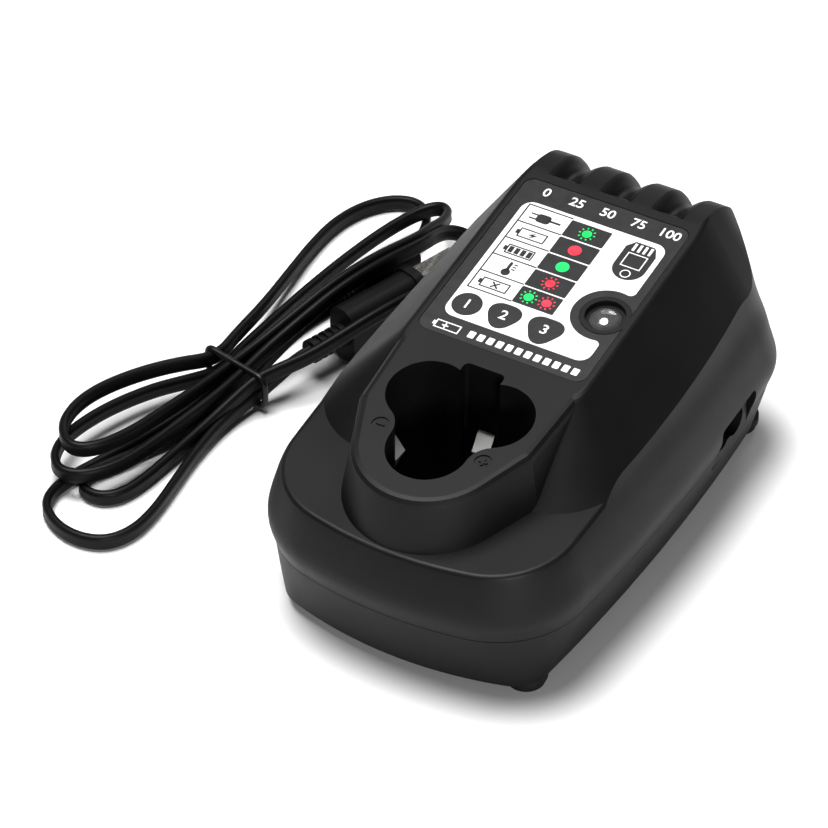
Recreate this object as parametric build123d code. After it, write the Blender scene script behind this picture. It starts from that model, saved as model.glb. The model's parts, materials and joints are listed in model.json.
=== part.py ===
from build123d import *
import os
from math import atan, cos, degrees, hypot, radians, sin, sqrt, tan

os.makedirs("parts", exist_ok=True)

# Charger for a stick-shaped battery of three 18 mm cells. Sizes in millimetres.
# Frame: floor at z 0, battery socket towards -Y, mains inlet on the +X side.

# Widest outline of the case, seen from above
FRONT_Y = -77.0
BACK_Y = 77.0
HALF_WIDTH = 49.0
SIDE_BOW_Y = 8.0
SIDE_R = 680.0
FRONT_R = 115.0
BACK_R = 260.0
FRONT_CORNER_R = 28.0
BACK_CORNER_R = 20.0
BACK_CORNER_GROW = 0.5
CORNER_TOP_Z = 60.0
BOTTOM_CORNER_R = 11.0

# Heights of the case and how far its wall stands inside the widest outline
CASE_BOTTOM_Z = 4.0
PARTING_Z = 22.5
BELT_Z = 29.5
CREASE_Z = 48.0
SKIRT_TOP_Z = 89.0
BOTTOM_INSET = 6.3
PARTING_INSET = 1.6
CREASE_INSET = 5.6
UPPER_LEAN = 0.24
BACK_LEAN = 0.12
BELT_CURVE = 1.6
BELLY_CURVE = 1.4
PARTING_GAP = 0.2
WALL = 2.2
TONGUE = 0.9
TONGUE_INNER = 2.05
TONGUE_RISE = 2.0
TONGUE_ROOT = 0.8
TONGUE_GAP = 0.15

# Tilted deck that tower and label share, and the shoulder round the tower
DECK_Z = 68.1
DECK_TILT = 8.3
SHOULDER_Z = 50.0
SHOULDER_TILT = 5.7
SHOULDER_ROUND = 1.5
BACK_TOP_R = 23.0

# Hump that carries the label: half widths at the crest and where it meets the skirt
CREST_HALF = 27.0
CREST_ROUND = 2.5
HUMP_FRONT_Y = -46.0
HUMP_BACK_Y = 78.0
HUMP_BACK_R = 22.0
HUMP_HALF_FRONT = 45.5
HUMP_HALF_BACK = 38.0
HUMP_TURN_Y = 50.0
HUMP_TURN_IN = 7.0
HUMP_TURN_R = 40.0
HUMP_TOP_FRONT_Y = -23.0
HUMP_CORNER_R = 24.0
HUMP_TOP_CORNER_R = 8.0
HUMP_SINK = 4.0

# Tower round the battery socket
TOWER_R = 21.0
TOWER_Y = -48.9
TOWER_FLARE = 22.0
TOWER_BEND = (25.5, -42.0)
TOWER_END = (27.2, -14.0)
TOWER_TAIL = (20.0, 0.0)
TOWER_BASE_Z = 29.0
TOWER_DRAFT = 5.0
TOWER_ROUND = 2.5

# Battery socket: three round lobes with a shallow keyway at the back
CELL_PITCH = 19.4
LOBE_R = 11.15
SOCKET_Y = -39.55
SOCKET_WAIST_R = 8.0
KEYWAY_HALF = 6.0
KEYWAY_Y = -20.2
KEYWAY_ROUND = 1.5
SOCKET_FLOOR_Z = 16.0
SOCKET_WALL = 1.8

# Polarity discs moulded beside the socket
DISC_AT = (15.25, -48.9)
DISC_R = 2.4
DISC_DEPTH = 0.4
DISC_STROKE = 0.6

# Label on the deck
LABEL_HALF = 25.2
LABEL_FRONT_Y = -14.2
LABEL_BACK_Y = 48.1
LABEL_CORNER_R = 3.0
LABEL_DEPTH = 0.5
LABEL_FILM = 0.4
LABEL_MARGIN = 0.15

# Indicator window beside the label
LAMP_AT = (18.8, 10.4)
LAMP_RECESS_R = 5.55
LAMP_RECESS_DEPTH = 1.6
LAMP_LENS_R = 4.4
LAMP_COLLAR_R = 6.8
LAMP_SINK = 0.0
LAMP_FLANGE_R = 5.8
LAMP_FLANGE = 1.0
LAMP_CUP_R = 3.2
LENS_FIT = 0.15
LAMP_BOARD_DROP = 4.2
LAMP_BOARD = (10.0, 22.0, 1.2)
LAMP_POST_OUT = 8.6
LAMP_POST_R = 2.2
LAMP_SCREW_R = 1.0
LAMP_SCREW_LENGTH = 4.0
LAMP_SCREW_HEAD_R = 1.9
LAMP_SCREW_HEAD = 1.3
DIODE = (2.0, 1.6, 1.4)
DIODE_PITCH = 2.6

# Finger grooves over the back edge
GROOVE_PITCH = 15.8
GROOVE_HALF = 7.0
GROOVE_LIP = 0.35
GROOVE_DEPTH = 3.3
GROOVE_VALLEY_R = 2.6
GROOVE_SKIN = 3.0
BACK_LIMIT_Y = 49.0
BACK_LIMIT_TURN = -45.0

# Mains inlet in the right wall, a two-pin figure-8 socket
INLET_Y = 35.0
INLET_Z = 24.0
INLET_FACE_X = 45.6
INLET_REBATE = 8.0
INLET_WIDTH = 21.4
INLET_HEIGHT = 14.6
INLET_DEPTH = 17.0
INLET_CORNER_R = 2.0
INLET_GAP = 0.3
INLET_HOLE_WIDTH = 16.0
INLET_HOLE_HEIGHT = 8.5
INLET_HOLE_DEPTH = 12.0
INLET_WAIST = 0.72
PIN_PITCH = 8.6
PIN_R = 1.19
PIN_LENGTH = 9.0
PIN_TAIL = 3.0

# Rubber feet, and the case screws beside them
FOOT_FRONT_AT = (33.4, -56.9)
FOOT_BACK_AT = (34.6, 64.5)
FOOT_R = 5.9
FOOT_PAD_R = 5.2
FOOT_STEP = 1.8
SCREW_FRONT_AT = (24.0, -50.0)
SCREW_BACK_AT = (24.5, 60.5)
CASE_SCREW_R = 1.5
CASE_SCREW_LENGTH = 26.0
CASE_SCREW_HOLE = 14.0
SCREW_CROSS = 0.7
SCREW_HEAD_R = 2.8
SCREW_HEAD = 2.2
SCREW_SEAT = 2.4
BOSS_R = 4.6
SCREW_FIT = 0.1

# Main board
BOARD_HALF = 37.0
BOARD_FRONT_Y = -9.0
BOARD_BACK_Y = 54.0
BOARD_THICK = 1.6
BOARD_POST_IN = 4.5
BOARD_POST_R = 3.0
BOARD_SCREW_R = 1.2
BOARD_SCREW_LENGTH = 5.0
BOARD_SCREW_HEAD_R = 2.4
BOARD_SCREW_HEAD = 1.6

# Contact leaves: a strip that bows into the socket through a window in its wall
LEAF_WIDTH = 5.0
LEAF_THICK = 0.5
LEAF_ROOT_Z = 10.4
LEAF_KNEE_Z = 25.0
LEAF_APEX_Z = 38.0
LEAF_TIP_Z = 43.0
LEAF_STANDOFF = 1.2
LEAF_REACH = 2.6
LEAF_TIP_BACK = 1.0
WINDOW_GAP = 0.7
WINDOW_LOW_Z = 25.5
WINDOW_HIGH_Z = 44.6
BLOCK_MARGIN = 3.0
BLOCK_GAP = 0.3
SLOT_GAP = 0.5

# Parts on the main board: plan position, then their own sizes
CORE_AT = (-2.0, 25.0)
CORE = (30.0, 14.0, 24.0)
CORE_LIFT = 3.0
CORE_LEG = 9.0
CORE_YOKE = 4.0
CORE_WINDOW = 6.0
BOBBIN_GAP = 0.3
BOBBIN_WALL = 1.0
BOBBIN_REACH = 4.0
WINDING_MARGIN = 0.4
BULK_AT = (-27.0, 38.0)
BULK = (9.0, 28.0)
FILTER_AT = (18.5, 21.0)
FILTER = (8.0, 15.0, 14.0)
CHOKE_AT = (20.5, 1.5)
CHOKE_R = 7.5
CHOKE_HOLE_R = 3.8
CHOKE_HEIGHT = 6.0
CHOKE_TURNS = 1.4
CHOKE_SPAN = 70.0
FUSE_AT = (20.0, 46.5)
FUSE = (3.8, 8.0)
SMOOTHING_AT = ((-30.0, 20.0), (-30.0, 8.0))
SMOOTHING = (5.0, 18.0)
SINK_THICK = 2.0
SINK_PRIMARY = (0.0, 51.0, 28.0, 24.0)
SINK_SECONDARY = (-12.0, 9.0, 20.0, 18.0)
DEVICE = (10.0, 4.4, 15.0)
DEVICE_LEG = (0.8, 4.0)
DEVICE_LEG_PITCH = 2.54
DEVICE_SCREW_R = 1.3
DEVICE_HEAD_R = 2.4
DEVICE_HEAD = 1.6
CHIP = (5.0, 4.0, 1.6)
CHIPS_AT = ((4.0, 3.0), (-4.0, -5.0), (6.0, -5.0))
LEAD_R = 0.8
INLET_LEAD_OUT = 4.0
INLET_LEAD_BEND = 3.2
CONTACT_LEAD_Z = 9.0
CONTACT_LEAD_BEND = 2.0
CONTACT_LEADS_X = (-16.0, 0.0, 16.0)
LAMP_LEAD_R = 1.2
LAMP_LEAD_LAND = (10.0, 7.5)
LAMP_LEAD_DROP = 9.0
LAMP_LEAD_TURN_Z = 36.0
LAMP_LEAD_BENDS = [12.0, 20.0]

# Mains cord lying beside the charger: hank, plug and figure-8 connector
CORD_R = 2.3
HANK_HEIGHT = 14.0
HANK_EDGE = 3.0
HANK_CORNER_R = 7.0
HANK_REACH = 49.0
HANK_OUTLINE = (
    (-90, -75),
    (-82, -62),
    (-85, -30),
    (-82, -4),
    (-76, 16),
    (-65, 34),
    (-58.5, 56),
    (-59, 82),
    (-67, 100),
    (-82, 107),
    (-98, 110),
    (-111, 98),
    (-110, 70),
    (-106, 40),
    (-106, 14),
    (-113, -14),
    (-124, -36),
    (-122, -54),
    (-110, -70),
)
TIE_AT = (-94.0, 4.0)
TIE_TURN = -12.0
TIE_WIDTH = 1.8
TIE_THICK = 1.3
TIE_CORE = (21.0, 10.6)
TIE_GAP = 0.2
END_TURN = 18.0
PLUG_REAR = (-76.4, 32.8)
PLUG_LIFT = 9.8
PLUG_BODY = (10.5, 28.0, 17.5)
PLUG_ROUND = 4.4
PLUG_FACE = 3.0
PLUG_LIP = 1.2
RELIEF_LENGTH = 12.0
RELIEF_R = 3.6
RELIEF_RIBS = 4
RELIEF_GROOVE = 1.4
RELIEF_DEPTH = 0.8
TAIL_LENGTH = 6.0
BLADE = (6.35, 17.0, 1.5)
BLADE_PITCH = 12.7
BLADE_ROOT = 4.0
BLADE_TIP = 1.5
POCKET_GAP = 0.7
CONNECTOR_REAR = (-82.9, 51.0)
CONNECTOR_LIFT = 9.3
CONNECTOR_BODY = (8.2, 22.0, 15.7)
CONNECTOR_RELIEF = 9.0
CONNECTOR_GRIP = 1.2
SLEEVE_R = 1.9
SLEEVE_BORE_R = 1.25
SLEEVE_DEPTH = 9.5
SLEEVE_SINK = 0.5

CASE_FLOOR_Z = CASE_BOTTOM_Z + WALL
BOARD_TOP_Z = INLET_Z - INLET_HEIGHT / 2
BOARD_Z = BOARD_TOP_Z - BOARD_THICK
DECK = Plane(
    origin=(0, 0, DECK_Z),
    x_dir=(1, 0, 0),
    z_dir=(0, -sin(radians(DECK_TILT)), cos(radians(DECK_TILT))),
)
SHOULDER = Plane(
    origin=(0, 0, SHOULDER_Z),
    x_dir=(1, 0, 0),
    z_dir=(0, -sin(radians(SHOULDER_TILT)), cos(radians(SHOULDER_TILT))),
)
BIG = 400.0
TOUCH = 0.01
OVERRUN = 1.0
RIM_SHARES = (1.0, 2 / 3, 1 / 3, 0.0)


def save(name, shape):
    """Write one named sub-part."""
    export_step(shape, f"parts/{name}.step")


def deck_z(y):
    """Height of the deck plane above the floor."""
    return DECK_Z + y * tan(radians(DECK_TILT))


def on_deck(x, y, height=0.0):
    """Place on the deck over a point of the plan."""
    return DECK.location * Pos(x, y / cos(radians(DECK_TILT)), height)


def block(x, y, z):
    """Box between the given pairs of limits."""
    size = [high - low for low, high in (x, y, z)]
    middle = [(high + low) / 2 for low, high in (x, y, z)]
    return Pos(*middle) * Box(*size)


def rod(radius, at, z):
    """Upright cylinder between two heights."""
    return Pos(at[0], at[1], (z[0] + z[1]) / 2) * Cylinder(radius, z[1] - z[0])


def plate(face, z):
    """Solid over a plan face between two heights."""
    return extrude(Pos(0, 0, z[0]) * face, amount=z[1] - z[0], dir=(0, 0, 1))


def below(plane, drop=0.0):
    """Half space under a tilted plane, as a large box."""
    return plane.location * Pos(0, 0, -BIG / 2 - drop) * Box(BIG, BIG, BIG)


def wall_inset(z):
    """How far the side wall stands inside the widest outline."""
    if z <= PARTING_Z:
        share = (PARTING_Z - z) / (PARTING_Z - CASE_BOTTOM_Z)
        return PARTING_INSET + (BOTTOM_INSET - PARTING_INSET) * share
    if z <= BELT_Z:
        return PARTING_INSET * ((BELT_Z - z) / (BELT_Z - PARTING_Z)) ** BELT_CURVE
    if z <= CREASE_Z:
        return CREASE_INSET * ((z - BELT_Z) / (CREASE_Z - BELT_Z)) ** BELLY_CURVE
    return CREASE_INSET + UPPER_LEAN * (z - CREASE_Z)


def side_meets(inset, centre_y, radius, end):
    """Corner where the right side arc meets the front arc (end 1) or the back arc (end -1)."""
    side_r = SIDE_R - inset
    dx = SIDE_R - HALF_WIDTH
    dy = centre_y - SIDE_BOW_Y
    apart = hypot(dx, dy)
    along = (side_r**2 - radius**2 + apart**2) / (2 * apart)
    across = end * sqrt(side_r**2 - along**2)
    foot_x = -dx + along * dx / apart
    foot_y = SIDE_BOW_Y + along * dy / apart
    return (foot_x + across * dy / apart, foot_y - across * dx / apart)


def corner_radius(widest, z):
    """Radius of a case corner, sharper towards the bottom of the tray."""
    if z >= PARTING_Z:
        return widest - wall_inset(z)
    share = (PARTING_Z - z) / (PARTING_Z - CASE_BOTTOM_Z)
    return (widest - PARTING_INSET) * (1 - share) + BOTTOM_CORNER_R * share


def outline(wall, z):
    """Case outline at one height, bowed on all four sides, moved in by the wall."""
    inset = wall_inset(z) + wall
    back_inset = inset if z <= BELT_Z else wall_inset(z) * BACK_LEAN + wall
    front_r = FRONT_R - inset
    back_r = BACK_R - back_inset
    front = side_meets(inset, FRONT_Y + FRONT_R, front_r, 1)
    back = side_meets(inset, BACK_Y - BACK_R, back_r, -1)
    face = make_face(
        [
            ThreePointArc((-front[0], front[1]), (0, FRONT_Y + inset), front),
            ThreePointArc(front, (HALF_WIDTH - inset, SIDE_BOW_Y), back),
            ThreePointArc(back, (0, BACK_Y - back_inset), (-back[0], back[1])),
            ThreePointArc((-back[0], back[1]), (-HALF_WIDTH + inset, SIDE_BOW_Y), (-front[0], front[1])),
        ]
    )
    corners = face.vertices().sort_by(Axis.Y)
    face = fillet(corners[:2], corner_radius(FRONT_CORNER_R, z) - wall)
    corners = [v for v in face.vertices() if hypot(abs(v.X) - back[0], v.Y - back[1]) < TOUCH]
    grown = BACK_CORNER_GROW * (min(max(z, BELT_Z), CORNER_TOP_Z) - BELT_Z)
    face = fillet(corners, corner_radius(BACK_CORNER_R, z) + grown - wall)
    return Pos(0, 0, z) * face


def skirt(inset, heights):
    """Bowed wall of the case through the outlines at the given heights."""
    return loft([outline(inset, z) for z in heights])


def rim_steps(radius, slope):
    """Insets and depths of a rounded rim between a wall of the given slope and a flat top."""
    turns = [radians(slope) * share for share in RIM_SHARES]
    tangent = radius * tan(turns[0] / 2)
    return [(tangent - radius * sin(turn), radius * (1 - cos(turn))) for turn in turns]


def tower_outline(grow):
    """Front arc of the tower with its flanks flaring to the hump."""
    flare = radians(TOWER_FLARE)
    start = (TOWER_R * cos(flare), TOWER_Y - TOWER_R * sin(flare))
    flank = [start, TOWER_BEND, TOWER_END, TOWER_TAIL]
    left = [(-x, y) for x, y in flank]
    edges = [ThreePointArc(left[0], (0, TOWER_Y - TOWER_R), start)]
    edges += [Line(a, b) for a, b in zip(flank, flank[1:])]
    edges += [Line(flank[-1], left[-1])]
    edges += [Line(b, a) for a, b in zip(left, left[1:])]
    face = make_face(edges)
    return offset(face, amount=grow, kind=Kind.INTERSECTION)


def on_plane(plane, face, drop):
    """Plan face laid on a tilted plane, below it by the drop."""
    tilt = plane.z_dir.get_angle(Vector(0, 0, 1))
    return plane.location * Pos(0, 0, -drop) * scale(face, by=(1, 1 / cos(radians(tilt)), 1))


def tower(inset):
    """Near-vertical tower with a rounded rim."""
    rise = DECK_Z - TOWER_BASE_Z
    slope = degrees(atan(rise / TOWER_DRAFT))
    sections = [Pos(0, 0, TOWER_BASE_Z) * tower_outline(TOWER_DRAFT - inset)]
    for step, depth in rim_steps(TOWER_ROUND, slope):
        sections.append(on_plane(DECK, tower_outline(-step - inset), depth + inset))
    return loft(sections, ruled=True)


def hump_outline(front_y, half_front, half_back, corner_r, inset):
    """Tapering outline of the hump, drawn in behind the label, with rounded corners."""
    share = (HUMP_TURN_Y - front_y) / (HUMP_BACK_Y - front_y)
    half_turn = half_front + (half_back - half_front) * share
    half_end = half_back - HUMP_TURN_IN
    right = [(half_front, front_y), (half_turn, HUMP_TURN_Y), (half_end, HUMP_BACK_Y)]
    left = [(-x, y) for x, y in reversed(right)]
    face = make_face(Polyline(*right, *left, close=True))
    face = fillet(face.vertices().sort_by(Axis.Y)[:2], corner_r)
    face = fillet(face.vertices().sort_by(Axis.Y)[-2:], HUMP_BACK_R - inset)
    turns = [v for v in face.vertices() if abs(v.Y - HUMP_TURN_Y) < TOUCH]
    return fillet(turns, HUMP_TURN_R)


def hump(inset):
    """Inclined flanks that rise from the skirt to the deck, with a rounded crest."""
    rise = DECK_Z - SHOULDER_Z
    run = HUMP_HALF_FRONT - CREST_HALF
    spread = run * HUMP_SINK / rise
    base = hump_outline(
        HUMP_FRONT_Y - spread + inset,
        HUMP_HALF_FRONT + spread - inset,
        HUMP_HALF_BACK + spread - inset,
        HUMP_CORNER_R,
        inset,
    )
    sections = [on_plane(SHOULDER, base, HUMP_SINK)]
    for step, depth in rim_steps(CREST_ROUND, degrees(atan(rise / run))):
        half = CREST_HALF - step - inset
        top = hump_outline(HUMP_TOP_FRONT_Y + step + inset, half, half, HUMP_TOP_CORNER_R, inset)
        sections.append(on_plane(DECK, top, depth + inset))
    return loft(sections, ruled=True)


def back_centre(radius, inset):
    """Side view centre of the big round between the deck and the back wall."""
    tilt = radians(DECK_TILT)
    y = BACK_Y - inset - radius
    return (y, deck_z(0) - inset / cos(tilt) + y * tan(tilt) - radius / cos(tilt))


def back_round(inset):
    """Everything in front of the back wall and under the deck, with their big round edge."""
    radius = BACK_TOP_R - inset
    tilt = radians(DECK_TILT)
    wall_y = BACK_Y - inset
    centre_y, centre_z = back_centre(radius, inset)
    start = (centre_y - radius * sin(tilt), centre_z + radius * cos(tilt))
    mid_turn = (radians(90) - tilt) / 2
    middle = (centre_y + radius * sin(mid_turn), centre_z + radius * cos(mid_turn))
    far = -BIG / 2
    top_far = start[1] + (far - start[0]) * tan(tilt)
    side = make_face(
        [
            Line((far, -BIG / 2), (far, top_far)),
            Line((far, top_far), start),
            ThreePointArc(start, middle, (wall_y, centre_z)),
            Line((wall_y, centre_z), (wall_y, -BIG / 2)),
            Line((wall_y, -BIG / 2), (far, -BIG / 2)),
        ]
    )
    return extrude(Plane.YZ.location * Pos(0, 0, -BIG / 2) * side, amount=BIG)


UPPER_HEIGHTS = (PARTING_Z, 26.0, BELT_Z, 34.0, 39.0, 43.5, CREASE_Z, 53.0, 61.0, 71.0, SKIRT_TOP_Z)


def upper_form(inset):
    """Outer form of the upper case, or the hollow inside it for a wall inset."""
    wall = skirt(inset, UPPER_HEIGHTS)
    lower_block = wall & below(SHOULDER, inset)
    if inset == 0:
        lower_block = lower_block.fillet(SHOULDER_ROUND, lower_block.faces().sort_by(Axis.Z)[-1].edges())
    form = lower_block + (wall & hump(inset)) + tower(inset)
    return form & back_round(inset)


LOWER_HEIGHTS = (CASE_BOTTOM_Z, 10.0, 16.0, PARTING_Z - PARTING_GAP)


def rounded_slot(x, width, height, corner_r):
    """Rounded rectangle at the inlet, extruded through the given span of x."""
    face = RectangleRounded(width, height, corner_r)
    return extrude(Plane.YZ.location * Pos(INLET_Y, INLET_Z, x[0]) * face, amount=x[1] - x[0])


def ring(outer, inner, low, high):
    """Band that follows the case wall between two insets and two heights."""
    heights = (low, (low + high) / 2, high)
    return skirt(outer, heights) - skirt(inner, heights)


def inlet_window():
    """Opening that both cases leave round the inlet."""
    width = INLET_WIDTH + 2 * INLET_GAP
    height = INLET_HEIGHT + 2 * INLET_GAP
    return rounded_slot((INLET_FACE_X - INLET_REBATE, HALF_WIDTH + WALL), width, height, INLET_CORNER_R)


def case_screw_places():
    """Plan positions of the four case screws."""
    return [(sign * x, y) for x, y in (SCREW_FRONT_AT, SCREW_BACK_AT) for sign in (-1, 1)]


def board_post_places():
    """Plan positions of the four posts under the main board."""
    x = BOARD_HALF - BOARD_POST_IN
    ys = (BOARD_FRONT_Y + BOARD_POST_IN, BOARD_BACK_Y - BOARD_POST_IN)
    return [(sign * x, y) for y in ys for sign in (-1, 1)]


def socket_outline(grow):
    """Plan of the battery socket: three lobes and a keyway."""
    ring = CELL_PITCH / sqrt(3)
    back_y = SOCKET_Y + ring / 2
    centres = [(0, SOCKET_Y - ring), (CELL_PITCH / 2, back_y), (-CELL_PITCH / 2, back_y)]
    face = make_face(Polyline(*centres, close=True))
    for x, y in centres:
        face += Pos(x, y) * Circle(LOBE_R + grow)
    waists = [v for v in face.vertices() if v.Y < SOCKET_Y and abs(v.X) > LOBE_R / 2]
    face = fillet(waists, SOCKET_WAIST_R - grow)
    depth = KEYWAY_Y + grow - SOCKET_Y
    keyway = Rectangle(2 * (KEYWAY_HALF + grow), 2 * depth)
    keyway = fillet(keyway.vertices().sort_by(Axis.Y)[-2:], KEYWAY_ROUND + grow)
    return face + Pos(0, SOCKET_Y) * keyway


def leaf_places():
    """Frames at the socket wall with +X pointing out of the socket, one for each contact."""
    lobe_x = CELL_PITCH / 2 + LOBE_R
    lobe_y = SOCKET_Y + CELL_PITCH / sqrt(3) / 2
    return {
        "contact_negative": Location((-lobe_x, lobe_y, 0), (0, 0, 180)),
        "contact_sense": Location((0, KEYWAY_Y, 0), (0, 0, 90)),
        "contact_positive": Location((lobe_x, lobe_y, 0), (0, 0, 0)),
    }


def back_limit():
    """Frame on the slanted plane that ends the hollow under the back edge."""
    return on_deck(0, BACK_LIMIT_Y, -WALL) * Rot(BACK_LIMIT_TURN, 0, 0)


def groove_section():
    """Section of a finger groove: a round valley between rounded shoulders that break the surface."""
    depth = GROOVE_DEPTH + GROOVE_LIP
    turn = 2 * atan(depth / GROOVE_HALF)
    shoulder_r = GROOVE_HALF / sin(turn) - GROOVE_VALLEY_R
    foot = (GROOVE_VALLEY_R * sin(turn), GROOVE_VALLEY_R * (1 - cos(turn)) - depth)
    middle = (GROOVE_HALF - shoulder_r * sin(turn / 2), shoulder_r * (cos(turn / 2) - 1))
    edge = (GROOVE_HALF, 0)
    left = [(-x, z) for x, z in (edge, middle, foot)]
    face = make_face(
        [
            ThreePointArc(*left),
            ThreePointArc(left[-1], (0, -depth), foot),
            ThreePointArc(foot, middle, edge),
            Polyline(edge, (GROOVE_HALF, OVERRUN), (-GROOVE_HALF, OVERRUN), left[0]),
        ]
    )
    return Pos(0, GROOVE_LIP, 0) * face


def groove_cut():
    """Finger grooves over the rounded back edge, with a solid skin left under them."""
    tilt = radians(DECK_TILT)
    centre_y, centre_z = back_centre(BACK_TOP_R, 0)
    start = (0, centre_y - BACK_TOP_R * sin(tilt), centre_z + BACK_TOP_R * cos(tilt))
    section = Plane(start, x_dir=(1, 0, 0), z_dir=(0, -cos(tilt), -sin(tilt))).location * groove_section()
    groove = revolve(section, Axis((0, centre_y, centre_z), (-1, 0, 0)), 90 + DECK_TILT)
    groove = groove & back_limit() * Pos(0, 0, GROOVE_SKIN + BIG / 2) * Box(BIG, BIG, BIG)
    return [Pos(x, 0, 0) * groove for x in (-GROOVE_PITCH, 0, GROOVE_PITCH)]


def label_outline(margin):
    """Plan of the label with a bite round the indicator."""
    length = LABEL_BACK_Y - LABEL_FRONT_Y - 2 * margin
    face = RectangleRounded(2 * (LABEL_HALF - margin), length, LABEL_CORNER_R)
    face = Pos(0, (LABEL_BACK_Y + LABEL_FRONT_Y) / 2) * face
    return face - Pos(*LAMP_AT) * Circle(LAMP_COLLAR_R + margin)


def deck_slab(face, low, high):
    """Slab over a plan face between two heights measured from the deck."""
    base = on_plane(DECK, face, -low)
    return extrude(base, amount=high - low, dir=DECK.z_dir)


def disc_marks():
    """Moulded minus and plus on sunken discs beside the socket."""
    marks = []
    for sign, bars in ((-1, (0,)), (1, (0, 90))):
        disc = on_deck(sign * DISC_AT[0], DISC_AT[1], -DISC_DEPTH / 2)
        sunken = disc * Cylinder(DISC_R, DISC_DEPTH)
        for turn in bars:
            sunken -= disc * Rot(0, 0, turn) * Box(DISC_R, DISC_STROKE, DISC_DEPTH)
        marks.append(sunken)
    return marks


def case_bosses(z, form):
    """Screw bosses between two heights, trimmed to the case form."""
    bosses = [rod(BOSS_R, at, z) for at in case_screw_places()]
    return [boss & form for boss in bosses]


def upper_case():
    """Upper case: tower with the socket, deck, skirt and grooves."""
    outer = upper_form(0)
    hollow = upper_form(WALL)
    hollow = hollow & back_limit() * Pos(0, 0, -BIG / 2) * Box(BIG, BIG, BIG)
    case = outer - hollow
    case += plate(socket_outline(SOCKET_WALL), (SOCKET_FLOOR_Z - SOCKET_WALL, SKIRT_TOP_Z)) & outer
    for boss in case_bosses((PARTING_Z, SKIRT_TOP_Z), outer):
        case += boss
    for at in lamp_post_places():
        post = on_deck(at[0], at[1], -(WALL + LAMP_BOARD_DROP) / 2 - WALL / 4)
        case += post * Cylinder(LAMP_POST_R, LAMP_BOARD_DROP + WALL / 2)
    case -= plate(socket_outline(0), (SOCKET_FLOOR_Z, SKIRT_TOP_Z + WALL))
    for place in leaf_places().values():
        window = block(
            (-LOBE_R / 2, SOCKET_WALL + OVERRUN),
            (-LEAF_WIDTH / 2 - WINDOW_GAP, LEAF_WIDTH / 2 + WINDOW_GAP),
            (WINDOW_LOW_Z, WINDOW_HIGH_Z),
        )
        case -= place * window
    for at in case_screw_places():
        case -= rod(CASE_SCREW_R + SCREW_FIT, at, (PARTING_Z - OVERRUN, PARTING_Z + CASE_SCREW_HOLE))
    for at in lamp_post_places():
        pilot = Cylinder(LAMP_SCREW_R + SCREW_FIT, LAMP_BOARD_DROP)
        case -= on_deck(at[0], at[1], -WALL - LAMP_BOARD_DROP / 2) * pilot
    groove_top = PARTING_Z + TONGUE_RISE + TONGUE_GAP
    groove_out = TONGUE_INNER - TONGUE - TONGUE_GAP
    case -= ring(groove_out, WALL + OVERRUN, PARTING_Z - OVERRUN, groove_top)
    case -= inlet_window()
    case -= deck_slab(label_outline(0), -LABEL_DEPTH, OVERRUN)
    lamp = on_deck(*LAMP_AT)
    case -= lamp * Pos(0, 0, -LAMP_RECESS_DEPTH / 2) * Cylinder(LAMP_RECESS_R, LAMP_RECESS_DEPTH)
    case -= lamp * Pos(0, 0, -WALL) * Cylinder(LAMP_LENS_R + LENS_FIT, 2 * WALL)
    for groove in groove_cut():
        case -= groove
    for mark in disc_marks():
        case -= mark
    return case


def lower_case():
    """Tray with screw bosses, board posts and the tongue of the parting line."""
    tray = skirt(0, LOWER_HEIGHTS)
    hollow = skirt(WALL, LOWER_HEIGHTS) & block((-BIG, BIG), (-BIG, BIG), (CASE_FLOOR_Z, BIG))
    case = tray - hollow
    case += ring(TONGUE_INNER - TONGUE, TONGUE_INNER, PARTING_Z - TONGUE_ROOT, PARTING_Z + TONGUE_RISE)
    for boss in case_bosses((CASE_BOTTOM_Z, PARTING_Z - PARTING_GAP), tray):
        case += boss
    for at in board_post_places():
        case += rod(BOARD_POST_R, at, (CASE_BOTTOM_Z, BOARD_Z))
    for at in case_screw_places():
        case -= rod(CASE_SCREW_R + SCREW_FIT, at, (0, PARTING_Z + TONGUE_RISE))
        case -= rod(SCREW_HEAD_R + SCREW_FIT, at, (0, CASE_BOTTOM_Z + SCREW_SEAT + SCREW_HEAD))
    for at in board_post_places():
        case -= rod(BOARD_SCREW_R, at, (BOARD_Z - BOARD_SCREW_LENGTH, BOARD_Z))
    case -= inlet_window()
    return case


def feet():
    """Four rubber feet glued under the tray, a flange and a smaller pad each."""
    group = []
    for x, y in (FOOT_FRONT_AT, FOOT_BACK_AT):
        for sign in (-1, 1):
            foot = rod(FOOT_R, (sign * x, y), (FOOT_STEP, CASE_BOTTOM_Z))
            group.append(foot + rod(FOOT_PAD_R, (sign * x, y), (0, FOOT_STEP)))
    return Compound(children=group)


def case_screws():
    """Four screws from below that hold the two cases together."""
    group = []
    for at in case_screw_places():
        low = CASE_BOTTOM_Z + SCREW_SEAT
        screw = rod(SCREW_HEAD_R, at, (low, low + SCREW_HEAD))
        screw += rod(CASE_SCREW_R, at, (low, low + CASE_SCREW_LENGTH))
        cross = rod(SCREW_HEAD_R / 2, at, (low, low + SCREW_HEAD / 2))
        for turn in (0, 90):
            bar = Rot(0, 0, turn) * Box(SCREW_HEAD_R, SCREW_CROSS, SCREW_HEAD)
            screw -= (Pos(at[0], at[1], low) * bar) & cross
        group.append(screw)
    return Compound(children=group)


def lamp_post_places():
    """Plan positions of the two posts that hold the indicator board."""
    return [(LAMP_AT[0], LAMP_AT[1] + sign * LAMP_POST_OUT) for sign in (-1, 1)]


def board_box(at, size, lift=0.0):
    """Box standing on the main board."""
    return Pos(at[0], at[1], BOARD_TOP_Z + lift + size[2] / 2) * Box(*size)


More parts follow.
